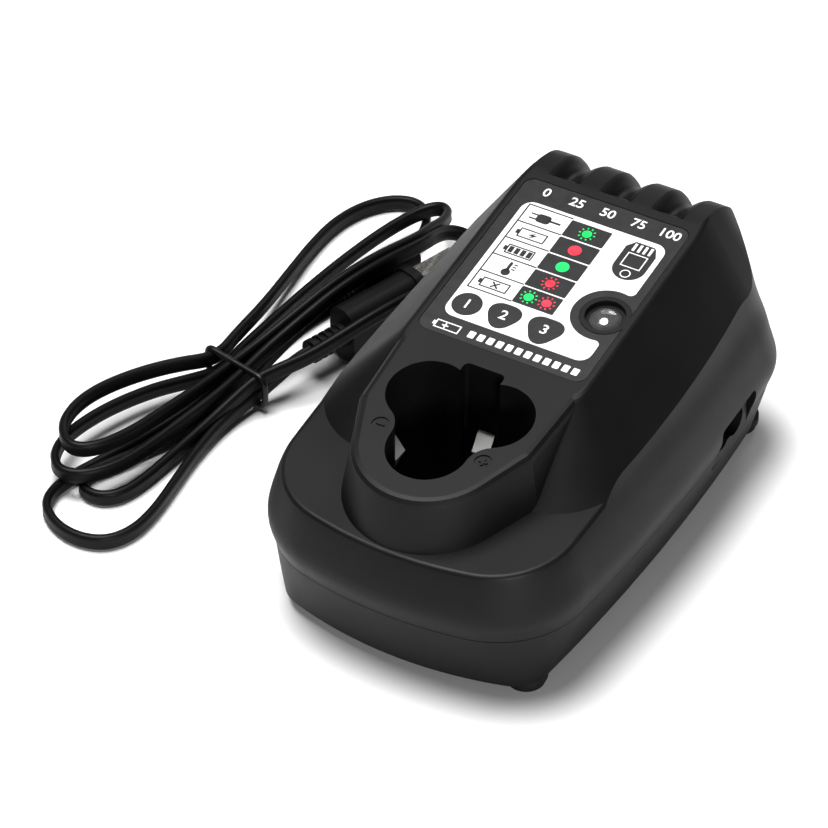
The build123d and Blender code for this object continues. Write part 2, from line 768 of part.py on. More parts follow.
def board_rod(at, size, lift=0.0):
    """Upright cylinder standing on the main board, from its radius and height."""
    return rod(size[0], at, (BOARD_TOP_Z + lift, BOARD_TOP_Z + lift + size[1]))


def main_board():
    """Main circuit board on its four posts."""
    board = block((-BOARD_HALF, BOARD_HALF), (BOARD_FRONT_Y, BOARD_BACK_Y), (BOARD_Z, BOARD_TOP_Z))
    for at in board_post_places():
        board -= rod(BOARD_SCREW_R + SCREW_FIT, at, (BOARD_Z, BOARD_TOP_Z))
    return board


def board_screws():
    """Screws that hold the main board to the posts of the tray."""
    group = []
    for at in board_post_places():
        low = BOARD_Z - BOARD_SCREW_LENGTH + BOARD_THICK
        screw = rod(BOARD_SCREW_R, at, (low, BOARD_TOP_Z))
        group.append(screw + board_rod(at, (BOARD_SCREW_HEAD_R, BOARD_SCREW_HEAD)))
    return Compound(children=group)


def transformer_core():
    """Two-window ferrite core of the transformer."""
    core = board_box(CORE_AT, CORE, CORE_LIFT)
    for sign in (-1, 1):
        x = CORE_AT[0] + sign * (CORE_LEG + CORE_WINDOW) / 2
        window = (CORE_WINDOW, CORE[1], CORE[2] - 2 * CORE_YOKE)
        core -= board_box((x, CORE_AT[1]), window, CORE_LIFT + CORE_YOKE)
    return core


def bobbin_shell(out, reach, height, lift):
    """Box round the centre leg of the core, wider and longer than the leg by the given amounts."""
    return board_box(CORE_AT, (CORE_LEG + 2 * out, CORE[1] + 2 * reach, height), lift)


def transformer_bobbin():
    """Bobbin on the centre leg, with flanges and two rails down to the board."""
    low = CORE_LIFT + CORE_YOKE + BOBBIN_GAP
    high = CORE_LIFT + CORE[2] - CORE_YOKE - BOBBIN_GAP
    hub_out = BOBBIN_GAP + BOBBIN_WALL
    flange_out = CORE_WINDOW - BOBBIN_GAP
    bobbin = bobbin_shell(hub_out, hub_out, high - low, low)
    for lift in (low, high - BOBBIN_WALL):
        bobbin += bobbin_shell(flange_out, BOBBIN_REACH, BOBBIN_WALL, lift)
    bobbin -= bobbin_shell(BOBBIN_GAP, BOBBIN_GAP, CORE[2], CORE_LIFT)
    rail_y = CORE[1] / 2 + (BOBBIN_REACH + BOBBIN_GAP) / 2
    rail = (CORE_LEG + 2 * flange_out, BOBBIN_REACH - BOBBIN_GAP, low + BOBBIN_WALL)
    for sign in (-1, 1):
        bobbin += board_box((CORE_AT[0], CORE_AT[1] + sign * rail_y), rail)
    return bobbin


def transformer_winding():
    """Copper winding between the flanges of the bobbin."""
    low = CORE_LIFT + CORE_YOKE + BOBBIN_GAP + BOBBIN_WALL
    height = CORE[2] - 2 * (CORE_YOKE + BOBBIN_GAP + BOBBIN_WALL)
    inner = BOBBIN_GAP + BOBBIN_WALL
    out = CORE_WINDOW - BOBBIN_GAP - WINDING_MARGIN
    outer = bobbin_shell(out, BOBBIN_REACH - WINDING_MARGIN, height, low)
    return outer - bobbin_shell(inner, inner, height, low)


def choke_core():
    """Ring core of the choke, standing clear of the board by one layer of wire."""
    core = board_rod(CHOKE_AT, (CHOKE_R, CHOKE_HEIGHT), CHOKE_TURNS)
    return core - board_rod(CHOKE_AT, (CHOKE_HOLE_R, CHOKE_HEIGHT), CHOKE_TURNS)


def choke_winding():
    """Two windings that wrap opposite sides of the ring core."""
    height = CHOKE_HEIGHT + 2 * CHOKE_TURNS
    coil = board_rod(CHOKE_AT, (CHOKE_R + CHOKE_TURNS, height))
    coil -= board_rod(CHOKE_AT, (CHOKE_HOLE_R - CHOKE_TURNS, height))
    coil -= choke_core()
    half = radians(CHOKE_SPAN)
    reach = 2 * CHOKE_R
    spread = reach * tan(half / 2)
    wedge = make_face(Polyline((0, 0), (reach, -spread), (reach, spread), close=True))
    sides = []
    for turn in (0, 180):
        place = Pos(CHOKE_AT[0], CHOKE_AT[1]) * Rot(0, 0, turn)
        sides.append(coil & plate(place * wedge, (0, BOARD_TOP_Z + height)))
    return Compound(children=sides)


def heat_sink(sink):
    """Upright aluminium plate behind a power device, drilled for its screw."""
    x, y, width, height = sink
    plate_solid = board_box((x, y), (width, SINK_THICK, height))
    return plate_solid - device_screw_rod(sink, DEVICE_SCREW_R, (y - SINK_THICK, y + SINK_THICK))


def device_screw_rod(sink, radius, y):
    """Cylinder on the axis of a device screw, between two places along Y."""
    z = BOARD_TOP_Z + DEVICE_LEG[1] + DEVICE[2] - DEVICE[0] / 4
    middle = Pos(sink[0], (y[0] + y[1]) / 2, z) * Rot(90, 0, 0)
    return middle * Cylinder(radius, y[1] - y[0])


def power_device(sink):
    """Power device in front of its plate, on three legs."""
    x, y = sink[:2]
    face_y = y - SINK_THICK / 2
    middle = (x, face_y - DEVICE[1] / 2)
    device = board_box(middle, DEVICE, DEVICE_LEG[1])
    for step in (-1, 0, 1):
        leg = (DEVICE_LEG[0], DEVICE_LEG[0], DEVICE_LEG[1])
        device += board_box((x + step * DEVICE_LEG_PITCH, middle[1]), leg)
    return device - device_screw_rod(sink, DEVICE_SCREW_R, (face_y - DEVICE[1], face_y))


def device_screw(sink):
    """Screw through a power device into its plate."""
    face_y = sink[1] - SINK_THICK / 2
    front_y = face_y - DEVICE[1]
    shank = device_screw_rod(sink, DEVICE_SCREW_R, (front_y, sink[1] + SINK_THICK / 2))
    return shank + device_screw_rod(sink, DEVICE_HEAD_R, (front_y - DEVICE_HEAD, front_y))


def tube(points, radius, bends):
    """Round wire along straight runs joined by arcs of the given radii."""
    path = FilletPolyline(*points, radius=bends)
    start = Plane(origin=path @ 0, z_dir=path % 0)
    return sweep(start * Circle(radius), path=path)


def inlet_body():
    """Block of the mains inlet with its figure-8 cavity."""
    span = (INLET_FACE_X - INLET_DEPTH, INLET_FACE_X)
    body = rounded_slot(span, INLET_WIDTH, INLET_HEIGHT, INLET_CORNER_R)
    radius = INLET_HOLE_HEIGHT / 2
    spread = (INLET_HOLE_WIDTH - INLET_HOLE_HEIGHT) / 2
    hole = Pos(-spread, 0) * Circle(radius) + Pos(spread, 0) * Circle(radius)
    hole += Rectangle(2 * spread, INLET_HOLE_HEIGHT * INLET_WAIST)
    low = INLET_FACE_X - INLET_HOLE_DEPTH
    body -= extrude(Plane.YZ.location * Pos(INLET_Y, INLET_Z, low) * hole, amount=INLET_HOLE_DEPTH)
    for at in inlet_pin_ys():
        body -= inlet_pin(at, (INLET_FACE_X - INLET_DEPTH, low))
    return body


def inlet_pin_ys():
    """Places of the two inlet pins along Y."""
    return [INLET_Y - PIN_PITCH / 2, INLET_Y + PIN_PITCH / 2]


def inlet_pin(y, x):
    """Cylinder of pin size between two places along X."""
    return Pos((x[0] + x[1]) / 2, y, INLET_Z) * Rot(0, 90, 0) * Cylinder(PIN_R, x[1] - x[0])


def pin_back_x():
    """Rear end of the inlet pins."""
    return INLET_FACE_X - INLET_DEPTH - PIN_TAIL


def inlet_pins():
    """The two pins, from their tails behind the block into the cavity."""
    tip = INLET_FACE_X - INLET_HOLE_DEPTH + PIN_LENGTH
    return Compound(children=[inlet_pin(y, (pin_back_x(), tip)) for y in inlet_pin_ys()])


def inlet_leads():
    """Wires from the pin tails down to the board."""
    group = []
    for y in inlet_pin_ys():
        x = pin_back_x()
        points = [(x, y, INLET_Z), (x - INLET_LEAD_OUT, y, INLET_Z), (x - INLET_LEAD_OUT, y, BOARD_TOP_Z)]
        group.append(tube(points, LEAD_R, [INLET_LEAD_BEND]))
    return Compound(children=group)


def leaf_x():
    """Distance of a contact leaf's foot from the socket face."""
    return SOCKET_WALL + LEAF_STANDOFF


def contact_leaf():
    """Sprung strip that rises beside the socket and bows in through the window."""
    line = Polyline(
        (leaf_x(), LEAF_ROOT_Z),
        (leaf_x(), LEAF_KNEE_Z),
        (-LEAF_REACH, LEAF_APEX_Z),
        (LEAF_TIP_BACK, LEAF_TIP_Z),
    )
    strip = trace(line, LEAF_THICK)
    return extrude(Plane.XZ.location * Pos(0, 0, -LEAF_WIDTH / 2) * strip, amount=LEAF_WIDTH)


def contact_block():
    """Block on the tray floor with a slot for the foot of each leaf."""
    top = SOCKET_FLOOR_Z - SOCKET_WALL - BLOCK_GAP
    z = (CASE_FLOOR_Z, top)
    half_y = LEAF_WIDTH / 2 + SLOT_GAP + BLOCK_MARGIN
    lobe_x = CELL_PITCH / 2 + LOBE_R + leaf_x() + BLOCK_MARGIN
    lobe_y = SOCKET_Y + CELL_PITCH / sqrt(3) / 2
    body = block((-lobe_x, lobe_x), (lobe_y - half_y, lobe_y + half_y), z)
    body += block((-half_y, half_y), (lobe_y, KEYWAY_Y + leaf_x() + BLOCK_MARGIN), z)
    slot_half = LEAF_THICK / 2 + SLOT_GAP
    for place in leaf_places().values():
        slot = block(
            (leaf_x() - slot_half, leaf_x() + slot_half),
            (-LEAF_WIDTH / 2 - SLOT_GAP, LEAF_WIDTH / 2 + SLOT_GAP),
            (LEAF_ROOT_Z - SLOT_GAP, top),
        )
        body -= place * slot
    return body


def contact_leads():
    """Wires from the contact block to the front edge of the main board."""
    lobe_y = SOCKET_Y + CELL_PITCH / sqrt(3) / 2 + LEAF_WIDTH / 2 + SLOT_GAP + BLOCK_MARGIN
    keyway_y = KEYWAY_Y + leaf_x() + BLOCK_MARGIN
    group = []
    for x in CONTACT_LEADS_X:
        start_y = keyway_y if x == 0 else lobe_y
        end_y = BOARD_FRONT_Y + 3 * LEAD_R
        points = [(x, start_y, CONTACT_LEAD_Z), (x, end_y, CONTACT_LEAD_Z), (x, end_y, BOARD_Z)]
        group.append(tube(points, LEAD_R, [CONTACT_LEAD_BEND]))
    return Compound(children=group)


def label_film():
    """Printed film in its recess on the deck."""
    return deck_slab(label_outline(LABEL_MARGIN), -LABEL_DEPTH, -LABEL_DEPTH + LABEL_FILM)


def lamp_rod(radius, low, high, at=LAMP_AT):
    """Cylinder square to the deck at the indicator, between two heights from the deck."""
    return on_deck(at[0], at[1], (low + high) / 2) * Cylinder(radius, high - low)


def indicator_lens():
    """Clear domed lens with a flange under the deck and a hollow for the light."""
    low = -WALL - LAMP_FLANGE
    lens = lamp_rod(LAMP_LENS_R, low, -LAMP_RECESS_DEPTH)
    lens += lamp_rod(LAMP_FLANGE_R, low, -WALL)
    rise = LAMP_RECESS_DEPTH - LAMP_SINK
    dome_r = (LAMP_LENS_R**2 + rise**2) / (2 * rise)
    dome = on_deck(*LAMP_AT, -LAMP_SINK - dome_r) * Sphere(dome_r)
    lens += dome & lamp_rod(LAMP_LENS_R, -LAMP_RECESS_DEPTH, 0)
    return lens - lamp_rod(LAMP_CUP_R, low, -WALL)


def indicator_board():
    """Small board under the deck that carries the two diodes."""
    width, length, thick = LAMP_BOARD
    top = -WALL - LAMP_BOARD_DROP
    board = on_deck(*LAMP_AT, top - thick / 2) * Box(width, length, thick)
    for at in lamp_post_places():
        board -= lamp_rod(LAMP_SCREW_R + SCREW_FIT, top - thick, top, at)
    return board


def indicator_leds():
    """Red and green diodes side by side under the lens."""
    top = -WALL - LAMP_BOARD_DROP
    group = []
    for sign in (-1, 1):
        place = on_deck(LAMP_AT[0] + sign * DIODE_PITCH / 2, LAMP_AT[1], top + DIODE[2] / 2)
        group.append(place * Box(*DIODE))
    return Compound(children=group)


def indicator_screws():
    """Screws that hold the indicator board to its posts."""
    under = -WALL - LAMP_BOARD_DROP - LAMP_BOARD[2]
    group = []
    for at in lamp_post_places():
        screw = lamp_rod(LAMP_SCREW_R, under, under + LAMP_SCREW_LENGTH, at)
        group.append(screw + lamp_rod(LAMP_SCREW_HEAD_R, under - LAMP_SCREW_HEAD, under, at))
    return Compound(children=group)


def indicator_lead():
    """Ribbon from the indicator board down to the main board, as one round lead."""
    under = on_deck(*LAMP_AT, -WALL - LAMP_BOARD_DROP - LAMP_BOARD[2]).position
    down = DECK.z_dir * -LAMP_LEAD_DROP
    first = under + down
    land_x, land_y = LAMP_LEAD_LAND
    points = [under, first, (land_x, land_y, LAMP_LEAD_TURN_Z), (land_x, land_y, BOARD_TOP_Z)]
    return tube([tuple(Vector(p)) for p in points], LAMP_LEAD_R, LAMP_LEAD_BENDS)


def end_frame(rear, lift):
    """Frame at the rear of a cord end, with +Y along its axis."""
    return Location((rear[0], rear[1], lift), (0, 0, -END_TURN))


def cord_end_body(size, corner_r):
    """Rounded body of a cord end, from its rear at the origin along +Y."""
    width, length, height = size
    face = RectangleRounded(width, height, corner_r)
    return extrude(Plane.XZ.location * face, amount=-length)


def relief(length):
    """Ribbed strain relief behind a cord end."""
    sleeve = Pos(0, -length / 2, 0) * Rot(90, 0, 0) * Cylinder(RELIEF_R, length)
    step = length / (RELIEF_RIBS + 1)
    for rib in range(1, RELIEF_RIBS + 1):
        cut = Cylinder(RELIEF_R, RELIEF_GROOVE) - Cylinder(RELIEF_R - RELIEF_DEPTH, RELIEF_GROOVE)
        sleeve -= Pos(0, -rib * step, 0) * Rot(90, 0, 0) * cut
    return sleeve


def blade(z):
    """One flat blade, rooted in the plug and rounded at its tip."""
    width, length, thick = BLADE
    face = Rectangle(width, length + BLADE_ROOT)
    face = fillet(face.vertices().sort_by(Axis.Y)[-2:], BLADE_TIP)
    middle_y = PLUG_BODY[1] + (length - BLADE_ROOT) / 2
    return Pos(0, middle_y, z - thick / 2) * extrude(face, amount=thick)


def plug_blades():
    """The two blades of the mains plug, one above the other."""
    frame = end_frame(PLUG_REAR, PLUG_LIFT)
    return Compound(children=[frame * blade(sign * BLADE_PITCH / 2) for sign in (-1, 1)])


def plug_body():
    """Mains plug on its edge, with its face step and strain relief, slotted for the blades."""
    body = cord_end_body(PLUG_BODY, PLUG_ROUND)
    face = cord_end_body((PLUG_BODY[0] + PLUG_LIP, PLUG_FACE, PLUG_BODY[2] + PLUG_LIP), PLUG_ROUND)
    body += Pos(0, PLUG_BODY[1] - PLUG_FACE, 0) * face
    body += relief(RELIEF_LENGTH)
    for sign in (-1, 1):
        body -= blade(sign * BLADE_PITCH / 2)
    return end_frame(PLUG_REAR, PLUG_LIFT) * body


def sleeve_rod(radius, y, sign):
    """Cylinder on the axis of one connector sleeve, between two places along the connector."""
    middle = Pos(0, (y[0] + y[1]) / 2, sign * PIN_PITCH / 2) * Rot(90, 0, 0)
    return middle * Cylinder(radius, y[1] - y[0])


def connector_sockets():
    """Metal sleeves that take the two inlet pins."""
    front = CONNECTOR_BODY[1]
    y = (front - SLEEVE_DEPTH, front - SLEEVE_SINK)
    frame = end_frame(CONNECTOR_REAR, CONNECTOR_LIFT)
    sleeves = [sleeve_rod(SLEEVE_R, y, sign) - sleeve_rod(SLEEVE_BORE_R, y, sign) for sign in (-1, 1)]
    return Compound(children=[frame * sleeve for sleeve in sleeves])


def appliance_connector():
    """Figure-8 connector lying on its edge, with its strain relief."""
    thick, length, width = CONNECTOR_BODY
    spread = (width - thick) / 2
    face = Pos(0, -spread) * Circle(thick / 2) + Pos(0, spread) * Circle(thick / 2)
    face += Rectangle(thick * INLET_WAIST, 2 * spread)
    nose = extrude(Plane.XZ.location * face, amount=-length)
    grip = cord_end_body((thick + CONNECTOR_GRIP, length / 2, width + CONNECTOR_GRIP), thick / 2)
    body = nose + grip + relief(CONNECTOR_RELIEF)
    for sign in (-1, 1):
        body -= sleeve_rod(SLEEVE_R, (length - SLEEVE_DEPTH, length), sign)
        body += sleeve_rod(SLEEVE_R, (length - SLEEVE_SINK, length), sign)
        body -= sleeve_rod(SLEEVE_BORE_R, (length - SLEEVE_SINK, length), sign)
    return end_frame(CONNECTOR_REAR, CONNECTOR_LIFT) * body


def cord_tail(rear, lift, back):
    """Straight end of the cord between a strain relief and the hank."""
    tail = Pos(0, -back - TAIL_LENGTH / 2, 0) * Rot(90, 0, 0) * Cylinder(CORD_R, TAIL_LENGTH)
    return end_frame(rear, lift) * tail


def end_pocket(rear, lift, size, back):
    """Room in the hank for a cord end, open upwards."""
    half = size[0] / 2 + POCKET_GAP
    low = -size[2] / 2 - POCKET_GAP
    pocket = block((-half, half), (-POCKET_GAP, size[1]), (low, HANK_HEIGHT))
    neck = RELIEF_R + POCKET_GAP
    pocket += block((-neck, neck), (-back - TAIL_LENGTH, 0), (-neck, HANK_HEIGHT))
    return end_frame(rear, lift) * pocket


def tie_box(width, height, length):
    """Box round the hank at the tie."""
    return Pos(TIE_AT[0], TIE_AT[1], HANK_HEIGHT / 2) * Rot(0, 0, TIE_TURN) * Box(width, length, height)


def cord_tie():
    """Tie round the waist of the hank."""
    width, height = TIE_CORE
    outer = tie_box(width + 2 * TIE_THICK, height + 2 * TIE_THICK, TIE_WIDTH)
    return outer - tie_box(width, height, TIE_WIDTH)


def cord_hank():
    """Outer form of the tied hank, with room for the plug, the connector and the tie."""
    outline_face = make_face(Polyline(*HANK_OUTLINE, close=True))
    outline_face = fillet(outline_face.vertices(), HANK_CORNER_R)
    hank = plate(outline_face, (0, HANK_HEIGHT))
    hank = chamfer(hank.edges().group_by(Axis.Z)[-1], HANK_EDGE)
    slot = tie_box(BIG / 8, BIG / 8, TIE_WIDTH + 2 * TIE_GAP)
    hank -= slot - tie_box(TIE_CORE[0] - TIE_GAP, TIE_CORE[1] - TIE_GAP, BIG / 8)
    plug_room = (PLUG_BODY[0] + PLUG_LIP, HANK_REACH, PLUG_BODY[2] + PLUG_LIP)
    hank -= end_pocket(PLUG_REAR, PLUG_LIFT, plug_room, RELIEF_LENGTH)
    thick, length, width = CONNECTOR_BODY
    connector_room = (thick + CONNECTOR_GRIP, length + POCKET_GAP, width + CONNECTOR_GRIP)
    return hank - end_pocket(CONNECTOR_REAR, CONNECTOR_LIFT, connector_room, CONNECTOR_RELIEF)


save("upper_case", upper_case())
save("lower_case", lower_case())
save("rubber_feet", feet())
save("case_screws", case_screws())
save("main_board", main_board())
save("board_screws", board_screws())
save("transformer_core", transformer_core())
save("transformer_bobbin", transformer_bobbin())
save("transformer_winding", transformer_winding())
save("mains_capacitor", board_rod(BULK_AT, BULK))
save("output_capacitors", Compound(children=[board_rod(at, SMOOTHING) for at in SMOOTHING_AT]))
save("filter_capacitor", board_box(FILTER_AT, FILTER))
save("choke_core", choke_core())
save("choke_winding", choke_winding())
save("fuse", board_rod(FUSE_AT, FUSE))
save("control_chips", Compound(children=[board_box(at, CHIP) for at in CHIPS_AT]))
save("heatsink_primary", heat_sink(SINK_PRIMARY))
save("heatsink_secondary", heat_sink(SINK_SECONDARY))
save("power_transistor", power_device(SINK_PRIMARY))
save("output_rectifier", power_device(SINK_SECONDARY))
save("heatsink_screws", Compound(children=[device_screw(sink) for sink in (SINK_PRIMARY, SINK_SECONDARY)]))
save("inlet_body", inlet_body())
save("inlet_pins", inlet_pins())
save("inlet_leads", inlet_leads())
save("contact_block", contact_block())
save("contact_leads", contact_leads())
for name, place in leaf_places().items():
    save(name, place * contact_leaf())
save("label_film", label_film())
save("indicator_lens", indicator_lens())
save("indicator_board", indicator_board())
save("indicator_leds", indicator_leds())
save("indicator_screws", indicator_screws())
save("indicator_lead", indicator_lead())
save("cord_hank", cord_hank())
save("cord_tie", cord_tie())
save("cord_tail_plug", cord_tail(PLUG_REAR, PLUG_LIFT, RELIEF_LENGTH))
save("cord_tail_connector", cord_tail(CONNECTOR_REAR, CONNECTOR_LIFT, CONNECTOR_RELIEF))
save("plug_body", plug_body())
save("plug_blades", plug_blades())
save("appliance_connector", appliance_connector())
save("connector_sockets", connector_sockets())
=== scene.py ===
import json
from math import atan2, cos, degrees, radians, sin

import bmesh
import bpy
from mathutils import Matrix, Vector


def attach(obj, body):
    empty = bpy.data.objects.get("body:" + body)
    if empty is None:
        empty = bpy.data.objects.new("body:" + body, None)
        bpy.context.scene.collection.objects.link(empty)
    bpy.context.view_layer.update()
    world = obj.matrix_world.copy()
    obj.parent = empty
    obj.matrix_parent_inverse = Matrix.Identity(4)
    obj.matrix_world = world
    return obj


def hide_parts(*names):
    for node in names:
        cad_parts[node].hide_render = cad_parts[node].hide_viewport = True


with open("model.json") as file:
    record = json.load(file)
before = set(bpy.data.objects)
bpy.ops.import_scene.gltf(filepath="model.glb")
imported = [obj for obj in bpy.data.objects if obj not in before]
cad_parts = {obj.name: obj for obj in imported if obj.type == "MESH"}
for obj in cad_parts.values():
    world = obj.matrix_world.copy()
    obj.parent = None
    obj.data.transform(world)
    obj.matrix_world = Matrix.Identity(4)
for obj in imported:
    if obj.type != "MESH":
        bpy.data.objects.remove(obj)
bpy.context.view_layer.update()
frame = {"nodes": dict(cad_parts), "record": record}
MM = 0.001
BODY = "charger"


# Camera

CAMERA_AT = (391.7, -732.4, 723.6)
CAMERA_TURN = 30.142
CAMERA_RISE = 39.661
CAMERA_LENS = 173.9
CAMERA_SENSOR = 36.0
CAMERA_REACH = 10.0


def make_camera():
    camera = bpy.data.objects.new("camera", bpy.data.cameras.new("camera"))
    camera.data.sensor_width = CAMERA_SENSOR
    camera.data.lens = CAMERA_LENS
    camera.data.clip_end = CAMERA_REACH
    camera.location = Vector(CAMERA_AT) * MM
    camera.rotation_euler = (radians(90 - CAMERA_RISE), 0, radians(CAMERA_TURN))
    bpy.context.collection.objects.link(camera)
    bpy.context.scene.camera = camera


# Shader maths


class Value:
    """One socket, with Python's operators as Math nodes."""

    def __init__(self, finish, socket):
        self.finish = finish
        self.socket = socket

    def _math(self, operation, other):
        node = self.finish.node("ShaderNodeMath", dict(operation=operation), self, other)
        return Value(self.finish, node.outputs[0])

    def __add__(self, other):
        return self._math("ADD", other)

    def __mul__(self, other):
        return self._math("MULTIPLY", other)


class Finish:
    """A material of this charger and the nodes in it."""

    def __init__(self, name, **constants):
        self.material = bpy.data.materials.new(name)
        self.material.use_nodes = True
        self.tree = self.material.node_tree
        self.shader = self.tree.nodes["Principled BSDF"]
        for socket, value in constants.items():
            self.shader.inputs[socket.replace("_", " ")].default_value = value

    def fill(self, socket, value):
        """Links a socket to a value, or sets it to a plain number or colour."""
        value = value.socket if isinstance(value, Value) else value
        if isinstance(value, bpy.types.NodeSocket):
            self.tree.links.new(value, socket)
        else:
            socket.default_value = value

    def node(self, kind, settings, *inputs, **named):
        node = self.tree.nodes.new(kind)
        for name, value in settings.items():
            setattr(node, name, value)
        pairs = list(enumerate(inputs))
        pairs += [(key.replace("_", " "), value) for key, value in named.items()]
        for key, value in pairs:
            self.fill(node.inputs[key], value)
        return node

    def place(self):
        return self.node("ShaderNodeTexCoord", {}).outputs["Object"]

    def noise(self, scale, detail, roughness, vector=None):
        node = self.node(
            "ShaderNodeTexNoise",
            {},
            Vector=vector or self.place(),
            Scale=scale,
            Detail=detail,
            Roughness=roughness,
        )
        return Value(self, node.outputs[0])

    def ramp(self, value, span, result):
        """Value stretched from its own span to the span of the result."""
        node = self.node("ShaderNodeMapRange", {}, value, *span, *result)
        return Value(self, node.outputs[0])

    def mix(self, factor, first, second):
        node = self.node("ShaderNodeMix", dict(data_type="RGBA"))
        for key, value in (("Factor", factor), ("A", first), ("B", second)):
            self.fill(next(s for s in node.inputs if s.name == key and s.enabled), value)
        return next(s for s in node.outputs if s.enabled)

    def feed(self, **sockets):
        for name, value in sockets.items():
            self.fill(self.shader.inputs[name.replace("_", " ")], value)

    def bump(self, height, strength, distance):
        node = self.node(
            "ShaderNodeBump", {}, Strength=strength, Distance=distance, Height=height
        )
        return node.outputs["Normal"]


def grey(level):
    return (level, level, level, 1.0)


def about(middle, spread):
    """Span about a middle value."""
    return (middle + spread[0], middle + spread[1])


# Finishes

FULL = (0.0, 1.0)
PLASTIC_IOR = 1.5
PLASTIC_GRAIN = dict(detail=3.0, roughness=0.6)
PLASTIC_CLOUD = dict(scale=28.0, detail=3.0, roughness=0.55)
PLASTIC_CLOUD_SPAN = (0.3, 0.7)
PLASTIC_GRAIN_SHARE = 0.35
PLASTIC_MARK_SPAN = (0.4, 1.0)
PLASTIC_ROUGH = (-0.05, 0.09)
PLASTIC_BUMP = 0.5

METAL_STRETCH = (1.0, 0.12, 1.0)
METAL_LINES = dict(detail=2.0, roughness=0.6)
METAL_SPOTS = dict(scale=160.0, detail=3.0, roughness=0.6)
METAL_SPOT_SPAN = (0.55, 0.8)
METAL_SPOT_MOST = (0.0, 0.6)
METAL_DULL = 0.72
METAL_LINE_SHARE = 0.7
METAL_SPOT_SHARE = 0.3
METAL_MARK_SPAN = (0.3, 0.7)
METAL_ROUGH = (-0.06, 0.1)
METAL_BUMP = (0.15, 0.00002)

COAT_PATCH = dict(detail=3.0, roughness=0.55)
COAT_PATCH_SPAN = (0.35, 0.65)
COAT_MARK_SPAN = (0.3, 0.7)
COAT_ROUGH = (-0.05, 0.06)
COAT_BUMP = (0.2, 0.00003)

LENS = dict(IOR=1.49, Roughness=0.06, Transmission_Weight=0.72, Coat_Weight=1.0)
LENS_SWIRL = dict(scale=420.0, detail=2.0, roughness=0.5)
LENS_DARK = (0.22, 0.22, 0.23, 1.0)
LENS_PALE = (0.4, 0.4, 0.41, 1.0)
LENS_BUMP = (0.1, 0.00004)

PLASTICS = {
    "case_plastic": dict(dark=0.006, light=0.009, rough=0.45, sheen=0.3),
    "tray_plastic": dict(dark=0.006, light=0.009, rough=0.48, sheen=0.3),
    "rubber_black": dict(dark=0.01, light=0.015, rough=0.72, grain=900.0, depth=0.00008),
    "inlet_plastic": dict(dark=0.006, light=0.009, rough=0.5, sheen=0.3),
    "block_plastic": dict(dark=0.05, light=0.062, rough=0.5),
    "chip_black": dict(dark=0.014, light=0.02, rough=0.5, grain=3600.0),
    "bobbin_plastic": dict(dark=0.03, light=0.04, rough=0.42),
    "ferrite": dict(dark=0.03, light=0.045, rough=0.6, grain=1500.0, depth=0.0001),
    "plug_black": dict(dark=0.004, light=0.006, rough=0.48, grain=1800.0, sheen=0.26),
    "cord_black": dict(
        dark=0.004, light=0.006, rough=0.46, grain=1400.0, depth=0.00003, sheen=0.25
    ),
    "tie_plastic": dict(dark=0.006, light=0.009, rough=0.3, grain=1800.0, depth=0.00003),
}

METALS = {
    "screw_steel": dict(colour=(0.6, 0.6, 0.58), rough=0.32),
    "sink_aluminium": dict(colour=(0.78, 0.79, 0.8), rough=0.36, scratch=500.0),
    "pin_metal": dict(colour=(0.83, 0.81, 0.76), rough=0.24),
    "leaf_metal": dict(colour=(0.95, 0.94, 0.91), rough=0.4, metallic=0.2),
    "enamelled_copper": dict(colour=(0.72, 0.3, 0.13), rough=0.28, scratch=1600.0),
}

COATS = {
    "board_green": dict(
        first=(0.02, 0.13, 0.05), second=(0.03, 0.18, 0.07), rough=0.32, scale=420.0, coat=0.3
    ),
    "choke_green": dict(
        first=(0.03, 0.16, 0.07), second=(0.05, 0.21, 0.1), rough=0.3, scale=350.0, coat=0.3
    ),
    "copper_tape": dict(
        first=(0.62, 0.45, 0.04), second=(0.75, 0.56, 0.07), rough=0.25, scale=260.0, coat=0.4
    ),
    "capacitor_sleeve": dict(
        first=(0.012, 0.016, 0.04), second=(0.02, 0.026, 0.06), rough=0.24, scale=200.0, coat=0.4
    ),
    "capacitor_box": dict(
        first=(0.62, 0.4, 0.03), second=(0.72, 0.5, 0.05), rough=0.34, scale=240.0, coat=0.2
    ),
    "fuse_brown": dict(first=(0.07, 0.03, 0.015), second=(0.1, 0.045, 0.02), rough=0.34),
    "wire_blue": dict(first=(0.01, 0.03, 0.2), second=(0.02, 0.05, 0.28), rough=0.34),
    "wire_red": dict(first=(0.32, 0.01, 0.01), second=(0.42, 0.02, 0.015), rough=0.34),
    "diode_white": dict(first=(0.75, 0.75, 0.62), second=(0.85, 0.85, 0.76), rough=0.3),
    "label_print": dict(
        first=(0.012, 0.012, 0.013),
        second=(0.016, 0.016, 0.017),
        rough=0.45,
        scale=500.0,
        coat=0.15,
    ),
    "print_white": dict(
        first=(0.8, 0.8, 0.8), second=(0.86, 0.86, 0.86), rough=0.4, scale=500.0, coat=0.1
    ),
    "print_green": dict(
        first=(0.0, 0.72, 0.13), second=(0.02, 0.8, 0.2), rough=0.38, scale=500.0, coat=0.1
    ),
    "print_red": dict(
        first=(0.85, 0.03, 0.07), second=(0.95, 0.06, 0.1), rough=0.38, scale=500.0, coat=0.1
    ),
}


